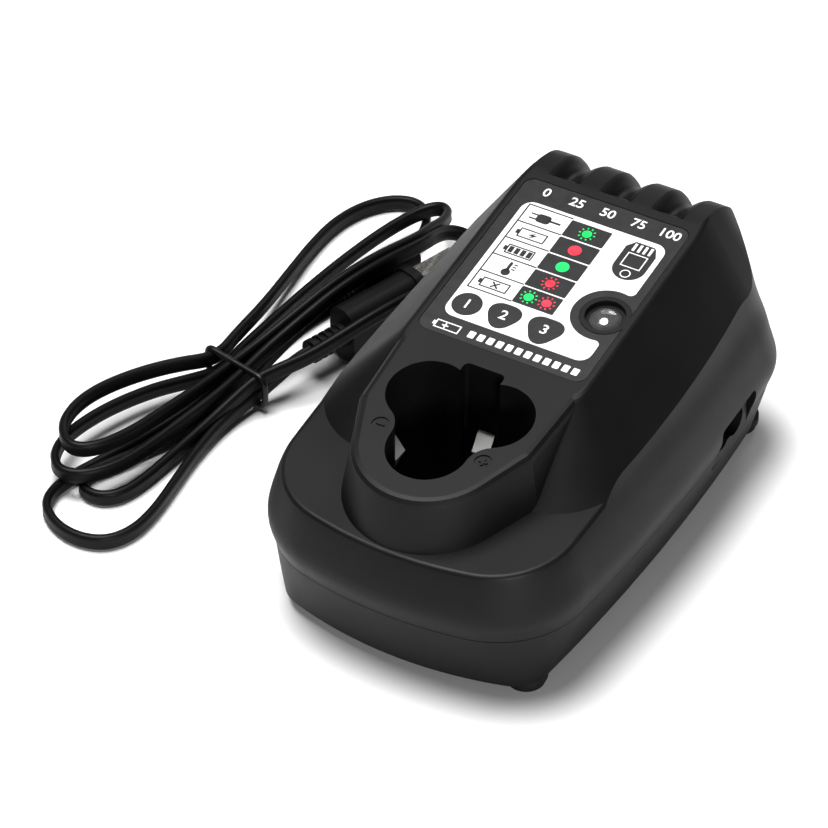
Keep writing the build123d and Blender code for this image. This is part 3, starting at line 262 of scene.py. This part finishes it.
def moulded_plastic(name, dark, light, rough, grain=2600.0, depth=0.00005, sheen=0.4):
    """Moulded plastic with a fine spark-eroded grain and faint handling marks."""
    finish = Finish(name, IOR=PLASTIC_IOR, Specular_IOR_Level=sheen)
    grains = finish.noise(grain, **PLASTIC_GRAIN)
    cloud = finish.noise(**PLASTIC_CLOUD)
    shade = finish.ramp(cloud, PLASTIC_CLOUD_SPAN, FULL)
    marks = cloud + grains * PLASTIC_GRAIN_SHARE
    finish.feed(
        Base_Color=finish.mix(shade, grey(dark), grey(light)),
        Roughness=finish.ramp(marks, PLASTIC_MARK_SPAN, about(rough, PLASTIC_ROUGH)),
        Normal=finish.bump(grains, PLASTIC_BUMP, depth),
    )
    return finish.material


def bright_metal(name, colour, rough, scratch=900.0, metallic=1.0):
    """Plated or drawn metal with fine scratches along one way and small tarnish marks."""
    finish = Finish(name, Metallic=metallic)
    stretched = finish.node("ShaderNodeMapping", {}, Vector=finish.place(), Scale=METAL_STRETCH)
    lines = finish.noise(scratch, vector=stretched.outputs[0], **METAL_LINES)
    spots = finish.noise(**METAL_SPOTS)
    tarnish = finish.ramp(spots, METAL_SPOT_SPAN, METAL_SPOT_MOST)
    dull = [share * METAL_DULL for share in colour]
    marks = lines * METAL_LINE_SHARE + spots * METAL_SPOT_SHARE
    finish.feed(
        Base_Color=finish.mix(tarnish, (*colour, 1.0), (*dull, 1.0)),
        Roughness=finish.ramp(marks, METAL_MARK_SPAN, about(rough, METAL_ROUGH)),
        Normal=finish.bump(lines, *METAL_BUMP),
    )
    return finish.material


def coated(name, first, second, rough, scale=300.0, coat=0.0):
    """Lacquered, printed or sleeved surface in two close shades."""
    finish = Finish(name, Coat_Weight=coat)
    patch = finish.noise(scale, **COAT_PATCH)
    shade = finish.ramp(patch, COAT_PATCH_SPAN, FULL)
    finish.feed(
        Base_Color=finish.mix(shade, (*first, 1.0), (*second, 1.0)),
        Roughness=finish.ramp(patch, COAT_MARK_SPAN, about(rough, COAT_ROUGH)),
        Normal=finish.bump(patch, *COAT_BUMP),
    )
    return finish.material


def clear_lens(name):
    """Clear moulding over the two diodes, faintly clouded inside."""
    finish = Finish(name, **LENS)
    swirl = finish.noise(**LENS_SWIRL)
    finish.feed(
        Base_Color=finish.mix(swirl, LENS_DARK, LENS_PALE), Normal=finish.bump(swirl, *LENS_BUMP)
    )
    return finish.material


def make_finishes():
    """Every finish by the name that the pieces and the record use for it."""
    made = {name: moulded_plastic(name, **looks) for name, looks in PLASTICS.items()}
    made |= {name: bright_metal(name, **looks) for name, looks in METALS.items()}
    made |= {name: coated(name, **looks) for name, looks in COATS.items()}
    made["lens_clear"] = clear_lens("lens_clear")
    return made


# Pieces


def finished(name, mesh, finish, smooth=True):
    """Object of a finished mesh, riding on the charger."""
    mesh.materials.clear()
    mesh.materials.append(finish)
    mesh.polygons.foreach_set("use_smooth", [smooth] * len(mesh.polygons))
    piece = bpy.data.objects.new(name, mesh)
    bpy.context.collection.objects.link(piece)
    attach(piece, BODY)
    return piece


def from_bmesh(name, bm, finish, smooth=True):
    mesh = bpy.data.meshes.new(name)
    bm.to_mesh(mesh)
    bm.free()
    return finished(name, mesh, finish, smooth)


# Mains cord: the route from the connector to the plug, in millimetres

CORD_WIDTH = 4.8
CORD_THICK = 2.6
CORD_ORDER = 3
CORD_STEPS = 8
LOBE_STEPS = 7
LOBE_SWEEP = 118
CORD_ROUTE = [
    (-85.7, 42.4, 9.3), (-87.4, 36.8, 9.3), (-89.5, 28, 8.3), (-91.3, 15, 5.8), (-91.6, 3.5, 4.4),
    (-95, -12, 3), (-100, -28, 2.6), (-106.5, -41, 2.5), (-110.3, -48.5, 2.5), (-108.3, -54.6, 2.5),
    (-102.5, -55.8, 2.5), (-97.5, -52.3, 2.5), (-95, -44, 2.5), (-93.8, -31, 2.8), (-91.5, -16, 4.4),
    (-88.8, -5, 7.4), (-86.7, 2.4, 9.6), (-82.6, 8, 11.2), (-77, 15, 13.2), (-71.8, 24.5, 16),
    (-66.6, 35.5, 18.6), (-62, 48, 19), (-58.8, 60, 15), (-57.6, 72, 8.4), (-59, 84.5, 4.4),
    (-64, 92.8, 4.8), (-69.8, 94.4, 7.2), (-73.4, 89.5, 10.8), (-73.6, 82, 14.2), (-71.8, 71.5, 18.6),
    (-76.6, 55.4, 20), (-81.6, 40.2, 18.8), (-86.1, 26.4, 15), (-90, 14.5, 11.3), (-91.6, 3.5, 9.4),
    (-93, -9, 8.8), (-95.8, -22, 8), (-98.2, -35, 7.4), (-101.4, -47, 7.4), (-107.5, -55, 7.4),
    (-114.5, -56.5, 7.4), (-119.7, -50.5, 7.4), (-121, -41, 7.4), (-118, -27, 7.2), (-112, -12.5, 6.4),
    (-105.5, -2, 5.2), (-101.3, 5.6, 4.4), (-101.8, 18, 3.6), (-101.3, 34, 3), (-100, 52, 3.2),
    (-97.2, 70, 4.2), (-93.2, 85, 5.8), (-88.6, 96, 7.2), (-83.6, 101, 8.4), (-78.6, 98.6, 9.6),
    (-76, 90.5, 12.2), (-75.4, 81, 15.8), (-74.4, 72.3, 18.6), (-79.4, 56.2, 20.2), (-84.4, 41, 18.8),
    (-88.9, 27.3, 15), (-93, 15.5, 11.5), (-96.4, 4.5, 9.4), (-98, -8, 10), (-100.6, -24, 11),
    (-103.2, -38, 11.8), (-108, -48.5, 12.2), (-114.4, -51, 12.2), (-120.6, -45, 12.2), (-122.7, -36, 12.2),
    (-121.3, -26, 12), (-116.5, -14.5, 11.4), (-109.5, -3.5, 10.6), (-101.8, 5.6, 9.4), (-103.6, 19, 8),
    (-105.3, 36, 5.8), (-107.8, 54, 4.2), (-110, 70, 3), (-110.3, 84, 2.7), (-107.3, 95.5, 2.6),
    (-101, 103.5, 2.6), (-93.5, 105.8, 2.6), (-87.3, 101.5, 2.6), (-84, 91, 2.6), (-84, 76, 2.6),
    (-87.8, 60, 2.6), (-93, 42, 2.6), (-96, 24, 3), (-96.4, 4.5, 4.4), (-99.5, -12, 3.6),
    (-105.5, -31, 2.8), (-111.5, -47, 2.6), (-114.6, -57.5, 2.5), (-113, -65.5, 2.5), (-106.5, -70.6, 2.5),
    (-98, -72.6, 2.5), (-90, -70.2, 2.5), (-85.8, -63, 2.5), (-85.3, -53, 2.5), (-87, -40, 2.5),
    (-89, -26, 2.5), (-89.4, -11, 3.2), (-86.7, 2.4, 4.4), (-84.3, 9.5, 6.8), (-82, 15.7, 9.4),
    (-80.1, 21.4, 9.8),
]


def spline_curve(name, points):
    """One smooth open curve through a route of control points."""
    curve = bpy.data.curves.new(name, "CURVE")
    curve.dimensions = "3D"
    curve.twist_mode = "Z_UP"
    curve.resolution_u = CORD_STEPS
    spline = curve.splines.new("NURBS")
    spline.points.add(len(points) - 1)
    for point, place in zip(spline.points, points):
        point.co = (*(Vector(place) * MM), 1.0)
    spline.order_u = CORD_ORDER
    spline.use_endpoint_u = True
    spline.resolution_u = CORD_STEPS
    return bpy.data.objects.new(name, curve)


def mesh_of(thing):
    """Mesh that a curve object gives, with the object removed."""
    bpy.context.collection.objects.link(thing)
    bpy.context.view_layer.update()
    shown = thing.evaluated_get(bpy.context.evaluated_depsgraph_get())
    mesh = bpy.data.meshes.new_from_object(shown)
    data = thing.data
    bpy.data.objects.remove(thing)
    bpy.data.curves.remove(data)
    return mesh


def flat_section():
    """Closed section of the flat two-core cord: two round lobes with a groove between them."""
    radius = CORD_THICK / 2 * MM
    reach = (CORD_WIDTH - CORD_THICK) / 2 * MM
    sweep = radians(LOBE_SWEEP)
    lobe = []
    for step in range(LOBE_STEPS):
        turn = -sweep + 2 * sweep * step / (LOBE_STEPS - 1)
        lobe.append((reach + radius * cos(turn), radius * sin(turn)))
    points = lobe + [(-x, -y) for x, y in lobe]
    curve = bpy.data.curves.new("cord_section", "CURVE")
    spline = curve.splines.new("POLY")
    spline.points.add(len(points) - 1)
    for point, (x, y) in zip(spline.points, points):
        point.co = (y, x, 0, 1)
    spline.use_cyclic_u = True
    return bpy.data.objects.new("cord_section", curve)


TIE_CENTRE = (-94.1, 4.0, 7.0)
TIE_TURN = -12.2
TIE_HALF = 11.1
TIE_RISE = 5.0
TIE_CORNER = 3.0
TIE_CORNER_STEPS = 8
TIE_R = 0.95
TIE_SIDES = 14
TIE_SWELL = 0.7
TIE_SWELL_REACH = 4
TIE_JOINT = 13


def make_tie(finishes):
    """Thin round band about the eight strands, swollen where its ends are joined."""
    loop = rounded(-TIE_HALF, TIE_HALF, -TIE_RISE, TIE_RISE, TIE_CORNER, TIE_CORNER_STEPS)
    turn = Matrix.Rotation(radians(TIE_TURN), 3, "Z")
    across, along, up = (turn @ Vector(axis) for axis in ((1, 0, 0), (0, 1, 0), (0, 0, 1)))
    bm = bmesh.new()
    rings = []
    for index, (x, z) in enumerate(loop):
        before, after = loop[index - 1], loop[(index + 1) % len(loop)]
        run = Vector((after[0] - before[0], after[1] - before[1])).normalized()
        outward = across * run.y - up * run.x
        swell = max(0, 1 - abs(index - TIE_JOINT) / TIE_SWELL_REACH)
        radius = TIE_R * (1 + TIE_SWELL * swell)
        centre = Vector(TIE_CENTRE) + across * x + up * z
        ring = []
        for x_share, y_share in disc(0, 0, radius, TIE_SIDES):
            ring.append(bm.verts.new((centre + outward * x_share + along * y_share) * MM))
        rings.append(ring)
    for index, ring in enumerate(rings):
        following = rings[(index + 1) % len(rings)]
        for side in range(TIE_SIDES):
            other = (side + 1) % TIE_SIDES
            bm.faces.new((ring[side], ring[other], following[other], following[side]))
    bmesh.ops.recalc_face_normals(bm, faces=bm.faces)
    tie = from_bmesh("cord_band", bm, finishes["tie_plastic"])
    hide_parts("cord_tie")
    return tie


def make_cord(finishes):
    """Flat mains cord in its hank, with the pieces on it."""
    line = mesh_of(spline_curve("cord_line", CORD_ROUTE))
    bpy.data.meshes.remove(line)
    section = flat_section()
    bpy.context.collection.objects.link(section)
    route = spline_curve("mains_cord", CORD_ROUTE)
    route.data.bevel_mode = "OBJECT"
    route.data.bevel_object = section
    route.data.use_fill_caps = True
    mesh = mesh_of(route)
    bpy.data.objects.remove(section)
    mesh.name = "mains_cord"
    cord = finished("mains_cord", mesh, finishes["cord_black"])
    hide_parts("cord_hank", "cord_tail_plug", "cord_tail_connector")
    ([make_tie(finishes)] + [
            frame["nodes"][name]
            for name in ("plug_body", "plug_blades", "appliance_connector", "connector_sockets")
        ])


# Outlines of the print, in millimetres on the deck

BAR_STEPS = 3
LINE_STEPS = 2
LINE_ROUND = 0.25
LARGE_STEPS = 6
DISC_STEPS = 32
HOOP_STEPS = 24
RAYS = 10
FLASH_DOT = 0.56
RAY_PLACE = 0.86
RAY_LENGTH = 0.24
RAY_WIDTH = 0.17
RAY_ROUND = 0.05
SPOT_STEPS = 48
SPOT_LOBES = 3


def arc(centre, radius, start, sweep, steps):
    """Points along an arc, in degrees, with both ends."""
    turns = [radians(start + sweep * n / steps) for n in range(steps + 1)]
    return [(centre[0] + radius * cos(t), centre[1] + radius * sin(t)) for t in turns]


def disc(x, y, radius, steps=DISC_STEPS):
    return arc((x, y), radius, 0, 360, steps)[:-1]


def rounded(left, right, low, high, radius, steps):
    """Rectangle with rounded corners."""
    corners = (
        (right - radius, high - radius, 0),
        (left + radius, high - radius, 90),
        (left + radius, low + radius, 180),
        (right - radius, low + radius, 270),
    )
    return [p for x, y, start in corners for p in arc((x, y), radius, start, 90, steps)]


def bar(x, y, width, height, radius=0.1):
    return rounded(x - width / 2, x + width / 2, y - height / 2, y + height / 2, radius, BAR_STEPS)


def bars_at(x, y, bars):
    """Bars of a sign, each moved to the middle of the sign."""
    return [bar(x + across, y + up, *size) for across, up, *size in bars]


def turned(points, centre, angle):
    """Outline turned about a centre."""
    across, up = cos(radians(angle)), sin(radians(angle))
    moved = [(x - centre[0], y - centre[1]) for x, y in points]
    return [(centre[0] + x * across - y * up, centre[1] + x * up + y * across) for x, y in moved]


def box_lines(left, right, low, high, line):
    """Four bars round a box."""
    sides = (
        (left, right, high - line, high),
        (left, right, low, low + line),
        (left, left + line, low + line, high - line),
        (right - line, right, low + line, high - line),
    )
    return [rounded(*side, line * LINE_ROUND, LINE_STEPS) for side in sides]


def hoop(x, y, outer, inner):
    """Ring made of short bars."""
    sweep = 360 / HOOP_STEPS
    shapes = []
    for n in range(HOOP_STEPS):
        far = arc((x, y), outer, sweep * n, sweep, 1)
        near = arc((x, y), inner, sweep * n, sweep, 1)
        shapes.append(far + near[::-1])
    return shapes


def spot(x, y, radius, swell):
    """Dark spot for one battery size: round, or with three soft lobes."""
    points = []
    for step in range(SPOT_STEPS):
        turn = radians(360 * step / SPOT_STEPS)
        reach = radius * (1 + swell * sin(SPOT_LOBES * turn))
        points.append((x + reach * cos(turn), y + reach * sin(turn)))
    return points


def flashing(x, y, radius):
    """Sign of a flashing lamp: a round dot with short rays."""
    ray = bar(x + radius * RAY_PLACE, y, radius * RAY_LENGTH, radius * RAY_WIDTH, RAY_ROUND)
    rays = [turned(ray, (x, y), 360 * n / RAYS) for n in range(RAYS)]
    return [disc(x, y, radius * FLASH_DOT)] + rays


# Printed label, laid on the tilted deck

DECK_Z = 68.1
DECK_TILT = 8.3
LAMP_PLAN = (18.8, 10.5)
PRINT_BASE = -0.1
PRINT_STEP = 0.025
PRINT_THICK = 0.02
FIGURE_BOLD = 0.018
FIGURE_STEPS = 4


def deck_matrix():
    lift = Matrix.Translation((0, 0, DECK_Z * MM))
    return lift @ Matrix.Rotation(radians(DECK_TILT), 4, "X") @ Matrix.Scale(MM, 4)


def figures(text, size):
    """Mesh of plain bold figures, centred."""
    curve = bpy.data.curves.new("figures", "FONT")
    curve.body = text
    curve.size = size
    curve.align_x = "CENTER"
    curve.align_y = "CENTER"
    curve.offset = size * FIGURE_BOLD
    curve.extrude = PRINT_THICK / 2
    curve.resolution_u = FIGURE_STEPS
    return mesh_of(bpy.data.objects.new("figures", curve))


def ink(name, shapes, level, finish, words=()):
    """Thin film of ink in one colour: filled outlines and figures, laid on the deck."""
    bm = bmesh.new()
    low = PRINT_BASE + PRINT_STEP * level
    for outline in shapes:
        bm.faces.new([bm.verts.new((x, y, low)) for x, y in outline])
    bmesh.ops.recalc_face_normals(bm, faces=bm.faces)
    grown = bmesh.ops.extrude_face_region(bm, geom=bm.faces[:], use_keep_orig=True)
    tops = [g for g in grown["geom"] if isinstance(g, bmesh.types.BMVert)]
    bmesh.ops.translate(bm, verts=tops, vec=(0, 0, PRINT_THICK))
    bmesh.ops.recalc_face_normals(bm, faces=bm.faces)
    for text, x, y, size in words:
        figure = figures(text, size)
        figure.transform(Matrix.Translation((x, y, low + PRINT_THICK / 2)))
        bm.from_mesh(figure)
        bpy.data.meshes.remove(figure)
    bmesh.ops.transform(bm, matrix=deck_matrix(), verts=bm.verts)
    from_bmesh(name, bm, finish, smooth=False)


# White panel: left, right, low and high edge

PANEL = (-21.3, 22.4, -7.2, 40.3)
PANEL_R = 3.4
NOTCH_R = 9.4
NOTCH_ROUND = 1.6
NOTCH_STEPS = 40


def panel_outline():
    """White panel, rounded at its corners and bitten round the indicator."""
    left, right, low, high = PANEL
    x, y = LAMP_PLAN
    reach = NOTCH_R + NOTCH_ROUND
    side = right - NOTCH_ROUND - x
    rise = (reach**2 - side**2) ** 0.5
    lean = degrees(atan2(rise, side))
    lip_x = right - NOTCH_ROUND
    points = arc((lip_x, y - rise), NOTCH_ROUND, 0, 180 - lean, LARGE_STEPS)
    points += arc((x, y), NOTCH_R, -lean, 2 * lean - 360, NOTCH_STEPS)
    points += arc((lip_x, y + rise), NOTCH_ROUND, 180 + lean, 180 - lean, LARGE_STEPS)
    return points + rounded(left, right, low, high, PANEL_R, LARGE_STEPS)


# Table of lamp states, with a sign and a lamp in each row

TABLE = (-19.8, 6.1, 4.2, 38.9)
TABLE_SPLIT = -6.2
TABLE_ROWS = 5
TABLE_LINE = 0.42
TABLE_LINE_ROUND = 0.05
CELL_GAP = 0.5
CELL_ROUND = 0.4
LAMP_R = 1.9
FLASH_R = 2.5
PAIR_REACH = 2.7

BATTERY_BOX = (-4.2, 4.0, -1.8, 1.8)
BATTERY_LINE = 0.42
BATTERY_TIP = [(-4.6, 0, 0.8, 1.6)]
PLUG_BARS = [(-0.4, 0, 4.2, 3.2, 1.0), (3.0, 0, 3.6, 0.7), (-3.4, -0.85, 2.2, 0.5), (-3.4, 0.85, 2.2, 0.5)]
BOLT = [(0.9, 1.2), (-1.5, -0.2), (-0.1, -0.2), (-0.9, -1.3), (1.5, 0.3), (0.1, 0.3)]
CHARGE_BARS = [(-2.8 + 1.85 * n, 0, 1.3, 2.3) for n in range(4)]
WARM_STEM = [(0, 0.9, 0.9, 3.6, 0.4)]
WARM_TICKS = [(1.5, 0.2 + 0.95 * n, 1.1, 0.42) for n in range(3)]
WARM_BULB = -1.3
WARM_BULB_R = 1.3
CROSS = (3.0, 0.5)
CROSS_TURN = 45


def battery_sign(x, y):
    """Lying battery: a box with its tip to the left."""
    left, right, low, high = BATTERY_BOX
    return box_lines(x + left, x + right, y + low, y + high, BATTERY_LINE) + bars_at(x, y, BATTERY_TIP)


def state_signs(x, rows):
    """One dark sign for each row of the table."""
    plug = bars_at(x, rows[0], PLUG_BARS)
    charging = battery_sign(x, rows[1]) + [[(x + across, rows[1] + up) for across, up in BOLT]]
    full = battery_sign(x, rows[2]) + bars_at(x, rows[2], CHARGE_BARS)
    warm = bars_at(x, rows[3], WARM_STEM) + [disc(x, rows[3] + WARM_BULB, WARM_BULB_R)]
    warm += bars_at(x, rows[3], WARM_TICKS)
    cross = bar(x, rows[4], *CROSS)
    fault = [turned(cross, (x, rows[4]), angle) for angle in (CROSS_TURN, -CROSS_TURN)]
    return plug + charging + full + warm + battery_sign(x, rows[4]) + fault


# Upright battery beside the table: a round foot and a stepped head

STICK_X = 16.2
STICK_LOW = 24.4
STICK_HIGH = 38.6
STICK_HALF = 4.7
STICK_STEPS = 16
STICK_HEAD = [(4.7, -3.4), (3.4, -0.6), (2.8, 0), (-2.8, 0), (-4.7, -2.4)]
STICK_PINS = [(13.9 + 1.6 * n, 36.6, 0.8, 2.9) for n in range(4)]
STICK_WINDOW = (13.2, 19.2, 29.0, 34.4, 0.35)
STICK_RING = (16.2, 26.6, 1.5, 1.15)

# Spots for the three battery sizes: place, radius and swell of the lobes

SPOTS = ((-16.3, -1.7, 4.2, 0.0), (-5.5, -1.2, 4.6, 0.09), (6.8, -1.2, 4.9, 0.11))
SPOT_FIGURE = 4.6

# Scale at the head of the label, and the battery sign and ticks at its foot

SCALE_STEP = 25
SCALE_FIGURES = [(-17.5 + 9.4 * n, 44.9, 4.4) for n in range(5)]
FOOT_BATTERY = (-20.6, -13.2, -12.7, -9.7, 0.4)
FOOT_BARS = [(-20.95, -11.2, 0.7, 1.4), (-17.6, -11.2, 1.9, 0.45), (-17.6, -11.2, 0.45, 1.9)]
FOOT_TICKS = [(-9.6 + 2.82 * n, -11.1, 1.9, 2.5, 0.3) for n in range(12)]


def battery_stick():
    foot = arc((STICK_X, STICK_LOW + STICK_HALF), STICK_HALF, 180, 180, STICK_STEPS)
    return foot + [(STICK_X + across, STICK_HIGH + up) for across, up in STICK_HEAD]


def make_label(finishes):
    """Print on the label: lamp table, plain signs, battery sign and figures."""
    dark, white = finishes["label_print"], finishes["print_white"]
    left, right, low, high = TABLE
    step = (high - low) / TABLE_ROWS
    lines = [low + step * n for n in range(TABLE_ROWS + 1)]
    rows = [high - step * (n + 0.5) for n in range(TABLE_ROWS)]
    middle = (TABLE_SPLIT + right) / 2
    ink("label_panel", [panel_outline()], 0, white)
    edges = [(left, TABLE_SPLIT, y, y + TABLE_LINE) for y in lines]
    edges.append((left, left + TABLE_LINE, low, high))
    dark_shapes = [rounded(*edge, TABLE_LINE_ROUND, LINE_STEPS) for edge in edges]
    dark_shapes += [bar(middle, y, right - TABLE_SPLIT, step - CELL_GAP, CELL_ROUND) for y in rows]
    dark_shapes += state_signs((left + TABLE_SPLIT) / 2, rows)
    dark_shapes.append(battery_stick())
    dark_shapes += [spot(*place) for place in SPOTS]
    ink("label_dark_print", dark_shapes, 1, dark)
    green = flashing(middle, rows[0], FLASH_R) + [disc(middle, rows[2], LAMP_R)]
    green += flashing(middle - PAIR_REACH, rows[4], FLASH_R)
    red = [disc(middle, rows[1], LAMP_R)] + flashing(middle, rows[3], FLASH_R)
    red += flashing(middle + PAIR_REACH, rows[4], FLASH_R)
    ink("label_green_print", green, 2, finishes["print_green"])
    ink("label_red_print", red, 2, finishes["print_red"])
    pale = bars_at(0, 0, STICK_PINS) + box_lines(*STICK_WINDOW) + hoop(*STICK_RING)
    pale += box_lines(*FOOT_BATTERY) + bars_at(0, 0, FOOT_BARS + FOOT_TICKS)
    spot_words = [(str(n + 1), *place[:2], SPOT_FIGURE) for n, place in enumerate(SPOTS)]
    scale_words = [(str(SCALE_STEP * n), *place) for n, place in enumerate(SCALE_FIGURES)]
    ink("label_pale_print", pale, 2, white, spot_words)
    ink("label_scale", [], 0, white, scale_words)


# Stage

FLOOR_HALF = 3.0
FLOOR_DROP = -0.0002
PAPER_ROUGH = 0.9
PAPER_NOISE = dict(scale=6.0, detail=2.0, roughness=0.5)
PAPER_SHADES = (0.88, 0.92)
SURROUND = 0.1
LIGHT_AIM = (0, 0, 0.03)
LIGHTS = {
    "key": dict(place=(-0.3, -0.02, 1.55), size=1.0, power=36.0),
    "rim": dict(place=(-0.2, 1.2, 0.7), size=0.5, power=2.5),
    "fill": dict(place=(0.9, -0.9, 0.45), size=0.3, power=9.0),
}
PICTURE_GAMMA = 0.84


def area_light(name, place, size, power):
    light = bpy.data.lights.new(name, "AREA")
    light.shape = "DISK"
    light.size = size
    light.energy = power
    lamp = bpy.data.objects.new(name, light)
    lamp.location = place
    aim = Vector(LIGHT_AIM) - Vector(place)
    lamp.rotation_euler = aim.to_track_quat("-Z", "Y").to_euler()
    bpy.context.collection.objects.link(lamp)


def make_stage():
    """Pale floor, soft studio lights and a pale surround."""
    bm = bmesh.new()
    bmesh.ops.create_grid(bm, x_segments=2, y_segments=2, size=FLOOR_HALF)
    mesh = bpy.data.meshes.new("floor")
    bm.to_mesh(mesh)
    bm.free()
    floor = bpy.data.objects.new("floor", mesh)
    floor.location = (0, 0, FLOOR_DROP)
    bpy.context.collection.objects.link(floor)
    paper = Finish("floor_paper", Roughness=PAPER_ROUGH)
    shades = [grey(level) for level in PAPER_SHADES]
    paper.feed(Base_Color=paper.mix(paper.noise(**PAPER_NOISE), *shades))
    mesh.materials.append(paper.material)
    world = bpy.data.worlds.new("surround")
    world.use_nodes = True
    background = world.node_tree.nodes["Background"]
    background.inputs["Color"].default_value = (1, 1, 1, 1)
    background.inputs["Strength"].default_value = SURROUND
    bpy.context.scene.world = world
    for name, light in LIGHTS.items():
        area_light(name, **light)
    view = bpy.context.scene.view_settings
    view.view_transform = "Standard"
    view.gamma = PICTURE_GAMMA


OWN_FINISH = {"lower_case": "tray_plastic"}


def dress_nodes(finishes):
    """Gives every CAD piece its finish."""
    slots = {part["node"]: part["material_slot"] for part in frame["record"]["subparts"]}
    for name, node in frame["nodes"].items():
        finish = finishes[OWN_FINISH.get(name, slots[name])]
        if not node.data.materials:
            node.data.materials.append(finish)
        for index in range(len(node.data.materials)):
            node.data.materials[index] = finish


make_camera()
FINISHES = make_finishes()
make_cord(FINISHES)
make_label(FINISHES)
dress_nodes(FINISHES)
make_stage()
